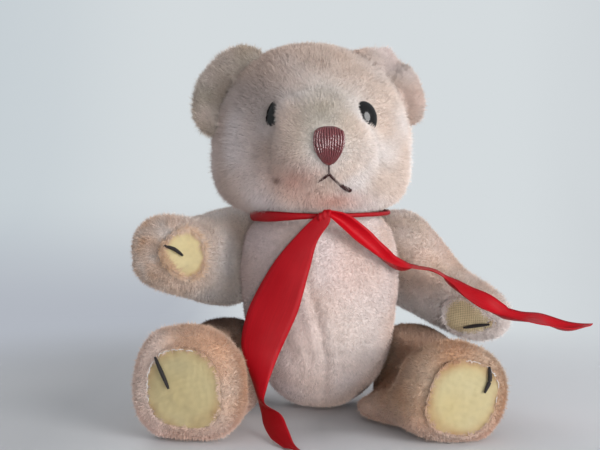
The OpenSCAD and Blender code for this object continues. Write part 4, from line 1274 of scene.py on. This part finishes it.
# The paper behind, by how far to the side and how high it is seen from the camera's place; its left side and lower
# left are darker as painted shadow
x, y, z = V.T
reach = np.maximum(0.2, y + 0.5)
side, rise = (x + 0.01) / reach, (z - 0.118) / reach
paper_with_painted_shadow = np.repeat(lin(213, 219, 222)[None], len(V), 0)
for colour, amount in ((lin(194, 203, 209), ramp(-side, 0.10, 0.26)), (lin(203, 208, 212), ramp(side, 0.20, 0.16)),
                       (lin(178, 183, 192), ramp(-rise, 0.02, 0.13) * ramp(-side, 0.03, 0.1)),
                       (PAPER, ramp(np.abs(side), 0.36, 0.3))):
    paper_with_painted_shadow = mix(paper_with_painted_shadow, colour, amount)
paint(stage, "paper", paper_with_painted_shadow)
out = np.hypot(x / 0.32, np.where(y > 0, y / 0.26, y / 0.45))
paint(stage, "away", np.repeat(ramp(out, 0.45, 0.75)[:, None], 3, 1))
floor = np.repeat(lin(225, 227, 230)[None], len(V), 0)
# Painted shadow: the floor darker to the left of the bear
floor = shaded(floor, 0.24 * ramp(-x, 0.05, 0.08))
# Painted shadow on the floor under the bear, between its feet
floor = shaded(floor, 0.45 * np.exp(-((x - 0.003) / 0.03) ** 2 - ((y + 0.045) / 0.03) ** 2))
paint(stage, "tint", floor)
dress(stage, STAGE)


def area(name, at, size, power, colour):
    """A round soft light that faces the bear's chest."""
    d = bpy.data.lights.new(name, "AREA")
    d.shape = "DISK"
    d.size = size
    d.energy = power
    d.color = colour
    ob = bpy.data.objects.new(name, d)
    ob.location = at
    ob.rotation_euler = (Vector((0, 0, 0.09)) - Vector(at)).to_track_quat("-Z", "Y").to_euler()
    bpy.context.scene.collection.objects.link(ob)


area("window", (0.92, -1.0, 0.36), 0.75, 15.5, (1.0, 0.99, 0.98))
area("lamp", (0.06, -1.25, 0.11), 0.15, 3.9, (1.0, 0.985, 0.96))
area("back", (-0.5, 1.2, 0.8), 1.0, 6.0, (1.0, 0.99, 0.98))
world = bpy.data.worlds.new("world")
bpy.context.scene.world = world
world.use_nodes = True
nt = world.node_tree
light = nt.nodes["Background"]
light.inputs["Color"].default_value = (0.93, 0.96, 1.0, 1)
light.inputs["Strength"].default_value = 0.43
paper = node(nt, "ShaderNodeBackground", (*PAPER, 1), Strength=1.0)
mixed(nt, looked_at(nt), light.outputs["Background"], paper.outputs["Background"], "World Output")

cam = bpy.data.cameras.new("camera")
cam.sensor_width = 36
cam.lens = 60
cam_ob = bpy.data.objects.new("camera", cam)
cam_ob.location = (-0.010, -0.500, 0.118)
cam_ob.rotation_euler = (math.radians(90 - 3.15), 0, 0)
bpy.context.scene.collection.objects.link(cam_ob)
bpy.context.scene.camera = cam_ob
bpy.context.scene.view_settings.view_transform = "Standard"
